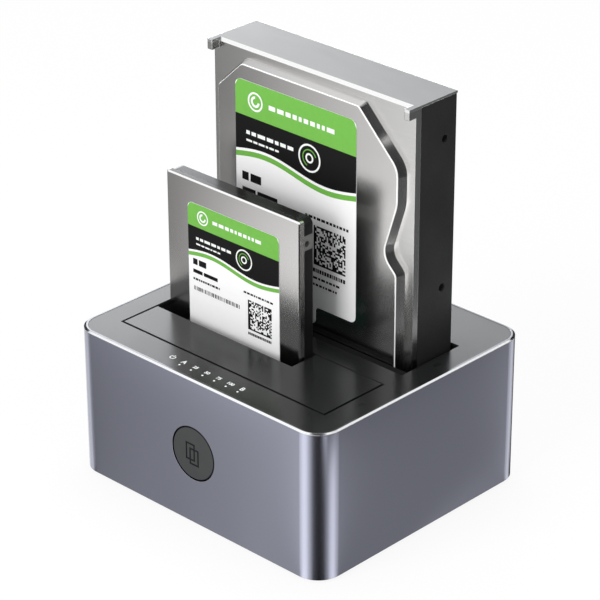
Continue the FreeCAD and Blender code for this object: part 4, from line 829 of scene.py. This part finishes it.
def swept(tree, x, y, away, crossed=False):
    """How far round a rounded corner its mirror point for a floor point lies, and the distance.

    With the corner's centre at (x, y), a floor point at the distance d and the angle w is mirrored where
    the corner's normal has turned by (w - away (1 - r/d)) / (2 - r/d), r being the corner's radius and
    away the angle at which the flat side sends the view on. Crossed corners swap the two axes. Returns
    the turn, the distance, the offset from the centre and its angle.
    """
    shift = tree.nodes.new("ShaderNodeVectorMath")
    shift.operation = "SUBTRACT"
    shift.inputs[1].default_value = (x, y, 0.0)
    tree.links.new(place(tree), shift.inputs[0])
    far = tree.nodes.new("ShaderNodeVectorMath")
    far.operation = "LENGTH"
    tree.links.new(shift.outputs["Vector"], far.inputs[0])
    apart = tree.nodes.new("ShaderNodeSeparateXYZ")
    tree.links.new(shift.outputs["Vector"], apart.inputs["Vector"])
    east, north = apart.outputs["X"], apart.outputs["Y"]
    if crossed:
        east, north = math_node(tree, "MULTIPLY", north, -1.0), math_node(tree, "MULTIPLY", east, -1.0)
    angle = math_node(tree, "ARCTAN2", north, east)
    share = math_node(tree, "DIVIDE", RADIUS, far.outputs["Value"])
    spread = math_node(tree, "MULTIPLY", math_node(tree, "SUBTRACT", 1.0, share), away)
    turned = math_node(tree, "DIVIDE", math_node(tree, "SUBTRACT", angle, spread),
                       math_node(tree, "SUBTRACT", 2.0, share))
    return turned, far.outputs["Value"], apart.outputs, angle


corner_x, corner_y = (shell_high[0] * MM - RADIUS), (-shell_low[1] * MM - RADIUS)
TO_RIGHT, TO_LEFT = math.radians(46.15), math.radians(43.85)
print("corner centres at", round(corner_x / MM, 2), round(corner_y / MM, 2), "mm")

# %% [markdown]
# Six curves give the floor its brightness in reflections. NEAR, RIGHT and LEFT run round the three
# visible corners, by how far the corner's normal has turned: each has a bright stripe or two and a dark
# gap. FRONT shades the front wall from left to right, SIDE the right wall, and FAR_RIGHT what the right
# walls of the drives mirror further out. NEAR to FRONT hold stops: where on the way, and how bright,
# with 1 for plain white.

# %% Brightness curves
floor_paint = bpy.data.materials.new("studio_floor")
floor_paint.use_nodes = True
tree = floor_paint.node_tree
tree.nodes.clear()
near_turn, _, ahead, angle = swept(tree, corner_x, -corner_y, TO_RIGHT)
right_turn, right_length, _, _ = swept(tree, corner_x, corner_y, TO_RIGHT)
left_turn, left_length, _, _ = swept(tree, -corner_x, -corner_y, TO_LEFT, crossed=True)
around = between(tree, angle, -math.pi, math.pi, 0.0, 1.0, "LINEAR")
lean = math_node(tree, "SUBTRACT", ahead["X"], ahead["Y"])
NEAR = [(0.0, 0.66), (0.045, 1.5), (0.105, 2.3), (0.18, 2.1), (0.28, 1.0), (0.37, 0.14), (0.49, 0.04),
        (0.60, 0.10), (0.69, 0.6), (0.78, 1.7), (0.85, 2.0), (0.92, 1.4), (1.0, 0.42)]
SIDE = [(0.60, 0.40), (0.70, 0.40), (0.722, 0.5), (0.74, 0.55), (0.76, 0.42), (0.82, 0.7), (1.0, 0.7)]
RIGHT = [(0.0, 0.42), (0.09, 0.5), (0.17, 1.0), (0.27, 1.5), (0.41, 1.5), (0.55, 0.7), (0.66, 0.06),
         (1.0, 0.04)]
LEFT = [(0.0, 0.16), (0.14, 0.22), (0.24, 0.75), (0.35, 1.5), (0.55, 1.0), (0.75, 1.3), (1.0, 1.3)]
FAR_RIGHT = [(0.40, 0.05), (0.43, 1.5), (0.452, 1.5), (0.475, 0.06), (0.60, 0.07), (0.66, 0.12), (0.74, 0.12)]
FRONT = [(0.0, 0.16), (0.12, 0.28), (0.24, 0.43), (0.48, 0.52), (0.65, 0.59), (0.78, 0.68), (1.0, 0.72)]
print("corner stripes from", len(NEAR), len(RIGHT), len(LEFT), "stops")

# %% [markdown]
# The curves are joined by soft masks: first the near corner's between the front's and the side's, then
# the far right zone, then the other two corners close to the object. The lift adds light further out
# in front, where the upper half of the front wall mirrors the floor.

# %% Floor in reflections
near_light = graded(tree, between(tree, near_turn, -math.pi / 2, 0.0, 0.0, 1.0, "LINEAR"), NEAR)
front_light = graded(tree, between(tree, lean, -0.148, 0.03, 0.0, 1.0, "LINEAR"), FRONT)
lift = blended(tree, between(tree, lean, -0.14, -0.075, 0.0, 1.0), 0.2,
               between(tree, ahead["Y"], -0.13, -0.18, 1.0, 0.38))
lift = math_node(tree, "MULTIPLY", lift, between(tree, ahead["Y"], -0.092, -0.106, 0.0, 1.0))
front_light = math_node(tree, "MULTIPLY", front_light, math_node(tree, "ADD", lift, 1.0))
side_light = graded(tree, around, SIDE)
right_far = math_node(tree, "MULTIPLY", between(tree, ahead["X"], 0.094, 0.115, 0.0, 1.0),
                      between(tree, around, 0.40, 0.41, 0.0, 1.0))
right_far = math_node(tree, "MULTIPLY", right_far, between(tree, around, 0.74, 0.80, 1.0, 0.0))
bright = blended(tree, between(tree, near_turn, -0.02, 0.02, 0.0, 1.0), near_light, side_light)
bright = blended(tree, between(tree, near_turn, -1.60, -1.55, 1.0, 0.0), bright, front_light)
bright = blended(tree, right_far, bright, graded(tree, around, FAR_RIGHT))
for turned, away, distance, stops in ((right_turn, TO_LEFT, right_length, RIGHT),
                                      (left_turn, TO_RIGHT, left_length, LEFT)):
    edge_light = graded(tree, between(tree, turned, 0.0, away, 0.0, 1.0, "LINEAR"), stops)
    swing = math_node(tree, "MULTIPLY", between(tree, turned, 0.03, 0.09, 0.0, 1.0),
                      between(tree, turned, 0.86, 0.95, 1.0, 0.0))
    swing = math_node(tree, "MULTIPLY", swing, between(tree, distance, 0.136, 0.15, 1.0, 0.0))
    bright = blended(tree, swing, bright, edge_light)
print("floor graded with", len(tree.nodes), "nodes")

# %% [markdown]
# Each kind of ray gets its own surface. The camera sees white with a tenth of a matt surface mixed in,
# which keeps the object's shadow faint. Reflections see the graded brightness. Everything else meets
# plain matt white, so the floor sheds the light that a real one would.

# %% Floor paint
SHADOW_SHARE = 0.11
mirror_look = tree.nodes.new("ShaderNodeEmission")
tree.links.new(bright, mirror_look.inputs["Strength"])
page = tree.nodes.new("ShaderNodeEmission")
matt = tree.nodes.new("ShaderNodeBsdfDiffuse")
matt.inputs["Color"].default_value = (0.9, 0.9, 0.9, 1)
seen = tree.nodes.new("ShaderNodeMixShader")
seen.inputs["Fac"].default_value = SHADOW_SHARE
tree.links.new(page.outputs["Emission"], seen.inputs[1])
tree.links.new(matt.outputs["BSDF"], seen.inputs[2])
rays = tree.nodes.new("ShaderNodeLightPath")
by_camera = tree.nodes.new("ShaderNodeMixShader")
tree.links.new(rays.outputs["Is Camera Ray"], by_camera.inputs["Fac"])
tree.links.new(matt.outputs["BSDF"], by_camera.inputs[1])
tree.links.new(seen.outputs["Shader"], by_camera.inputs[2])
by_gloss = tree.nodes.new("ShaderNodeMixShader")
tree.links.new(rays.outputs["Is Glossy Ray"], by_gloss.inputs["Fac"])
tree.links.new(by_camera.outputs["Shader"], by_gloss.inputs[1])
tree.links.new(mirror_look.outputs["Emission"], by_gloss.inputs[2])
output = tree.nodes.new("ShaderNodeOutputMaterial")
tree.links.new(by_gloss.outputs["Shader"], output.inputs["Surface"])
floor.data.materials.append(floor_paint)
print("floor painted")

# %% [markdown]
# ### Cards
# The level lid and the walls of the drives look past the floor, so they need cards of their own:
# upright or level sheets that only reflections see. A card is one face that glows a little or a lot,
# and it casts no shadow.

# %% Card helpers
def card(name, foot, along, low, high):
    """Upright card: foot is the middle of its lower edge, along half that edge, both flat vectors."""
    ends = [foot - along, foot + along]
    return card_between(name, [(*ends[0], low), (*ends[1], low), (*ends[1], high), (*ends[0], high)])


COOL_WHITE = (0.955, 0.975, 1.0, 1)


def card_between(name, corners):
    """Card with the given corners. Returns its node tree and the socket for its brightness."""
    mesh = bpy.data.meshes.new(name)
    mesh.from_pydata(corners, [], [tuple(range(len(corners)))])
    made = bpy.data.objects.new(name, mesh)
    bpy.context.scene.collection.objects.link(made)
    made.visible_camera = made.visible_diffuse = made.visible_shadow = False
    paint = bpy.data.materials.new(name + "_light")
    paint.use_nodes = True
    paint.node_tree.nodes.clear()
    glow = paint.node_tree.nodes.new("ShaderNodeEmission")
    end = paint.node_tree.nodes.new("ShaderNodeOutputMaterial")
    glow.inputs["Color"].default_value = COOL_WHITE
    paint.node_tree.links.new(glow.outputs["Emission"], end.inputs["Surface"])
    mesh.materials.append(paint)
    return paint.node_tree, glow.inputs["Strength"]


# %% [markdown]
# The bright card stands behind on the left. The glossy lid mirrors it at its open end, and fades to
# black where the card is dark towards its two ends. Its upper part is dimmer, as the tops of the drives
# mirror that, and its foot is dark, so the lid keeps a dark far edge.

# %% Bright card
outward = np.array([-0.692, 0.7215])
sideways = np.array([0.7215, 0.692])
tree, strength = card("card_bright", 0.25 * outward, 0.42 * sideways, 0.0, 0.45)
level = between(tree, axis_of(tree, "Z"), 0.212, 0.238, 4.4, 0.8)
across = tree.nodes.new("ShaderNodeVectorMath")
across.operation = "DOT_PRODUCT"
across.inputs[1].default_value = (*sideways, 0.0)
tree.links.new(place(tree), across.inputs[0])
slope = between(tree, across.outputs["Value"], -0.1, 0.1, 1.08, 0.78)
level = math_node(tree, "MULTIPLY", level, between(tree, axis_of(tree, "Z"), 0.06, 0.09, 0.2, 1.0))
ends = between(tree, math_node(tree, "ABSOLUTE", across.outputs["Value"], 0.0), 0.14, 0.165, 1.0, 0.01)
tree.links.new(math_node(tree, "MULTIPLY", math_node(tree, "MULTIPLY", level, slope), ends), strength)
print("bright card made")

# %% [markdown]
# Three dark cards take brightness away. A tall one on the right keeps the side walls of the drives
# dark. A level one above breaks the shine of the sleeve's rim at the near corner. A level one just over
# the lid's height, right of the dock, stops the wall of the raised cover from mirroring the floor.

# %% Dark cards
_, strength = card("card_dark", np.array([0.36, 0.24]), np.array([0.0, 0.56]), 0.0, 0.95)
strength.default_value = 0.05
_, strength = card_between("card_above", [(-0.02, -0.15, 0.45), (0.15, -0.15, 0.45), (0.15, 0.02, 0.45),
                                          (0.06, 0.02, 0.45), (-0.02, -0.06, 0.45)])
strength.default_value = 0.03
_, strength = card_between("card_low", [(0.072, -0.02, 0.0638), (0.25, -0.02, 0.0638),
                                        (0.25, 0.25, 0.0638), (0.072, 0.25, 0.0638)])
strength.default_value = 0.13
print("three dark cards made")

# %% [markdown]
# ### World and lamps
# The world is a white dome. What the camera and reflections see of it has strength 1, which is white,
# while the light that it sheds on matt surfaces is weaker. Large soft lamps do the rest: one in front,
# a weak one low in front for the labels' lower parts, one above and a weak one from the right. The
# lamps stay out of reflections, where they would leave hard white patches on the metal.

# %% World and lamps
world = bpy.data.worlds.new("studio")
bpy.context.scene.world = world
world.use_nodes = True
tree = world.node_tree
rays = tree.nodes.new("ShaderNodeLightPath")
shown = math_node(tree, "MAXIMUM", rays.outputs["Is Camera Ray"], rays.outputs["Is Glossy Ray"])
shown = math_node(tree, "MAXIMUM", shown, rays.outputs["Is Transmission Ray"])
tree.nodes["Background"].inputs["Color"].default_value = (1, 1, 1, 1)
tree.links.new(between(tree, shown, 0.0, 1.0, 0.5, 1.0), tree.nodes["Background"].inputs["Strength"])


def soft_lamp(name, spot, size, power):
    """Square area lamp at a point in metres, aimed at the middle of the object."""
    data = bpy.data.lights.new(name, "AREA")
    data.size = size
    data.energy = power
    lamp = bpy.data.objects.new(name, data)
    lamp.location = spot
    lamp.visible_glossy = False
    lamp.rotation_mode = "QUATERNION"
    lamp.rotation_quaternion = (Vector((0, 0, 0.08)) - Vector(spot)).to_track_quat("-Z", "Y")
    bpy.context.scene.collection.objects.link(lamp)
    return lamp


soft_lamp("lamp_front", (-0.1, -1.4, 0.9), 0.9, 13.4)
soft_lamp("lamp_low", (-0.1, -1.2, 0.2), 0.8, 3.4)
soft_lamp("lamp_top", (-0.2, 0.3, 1.6), 1.0, 10.0)
soft_lamp("lamp_right", (1.3, 0.1, 0.9), 0.7, 4.0)

# %% [markdown]
# ## Camera
# A long lens from the front right, looking down by about 27 degrees. Its axes are built from the turn
# round the object, the tilt and a very small roll, and go into the matrix as columns.

# %% Camera
turn_angle, tilt, roll = math.radians(43.849), math.radians(26.79), math.radians(-0.15)
outward = Vector((math.sin(turn_angle), -math.cos(turn_angle), 0))
level = Vector((math.cos(turn_angle), math.sin(turn_angle), 0))
back = math.cos(tilt) * outward + Vector((0, 0, math.sin(tilt)))
upward = level.cross(-back)
across = math.cos(roll) * level + math.sin(roll) * upward
above = -math.sin(roll) * level + math.cos(roll) * upward
camera = bpy.data.objects.new("camera", bpy.data.cameras.new("camera"))
camera.data.sensor_width = 36.0
camera.data.lens = 165.68
camera.data.clip_start = 0.05
camera.data.clip_end = 20.0
spot = Vector((0.6461, -0.6719, 0.5449))
camera.matrix_world = Matrix.Translation(spot) @ Matrix([across, above, back]).transposed().to_4x4()
bpy.context.scene.collection.objects.link(camera)
bpy.context.scene.camera = camera
bpy.context.scene.view_settings.view_transform = "Standard"
print("camera at", tuple(round(v, 3) for v in spot))

# %% [markdown]
# ## Update
# Last, the view layer is brought up to date.

# %% Update
bpy.context.view_layer.update()
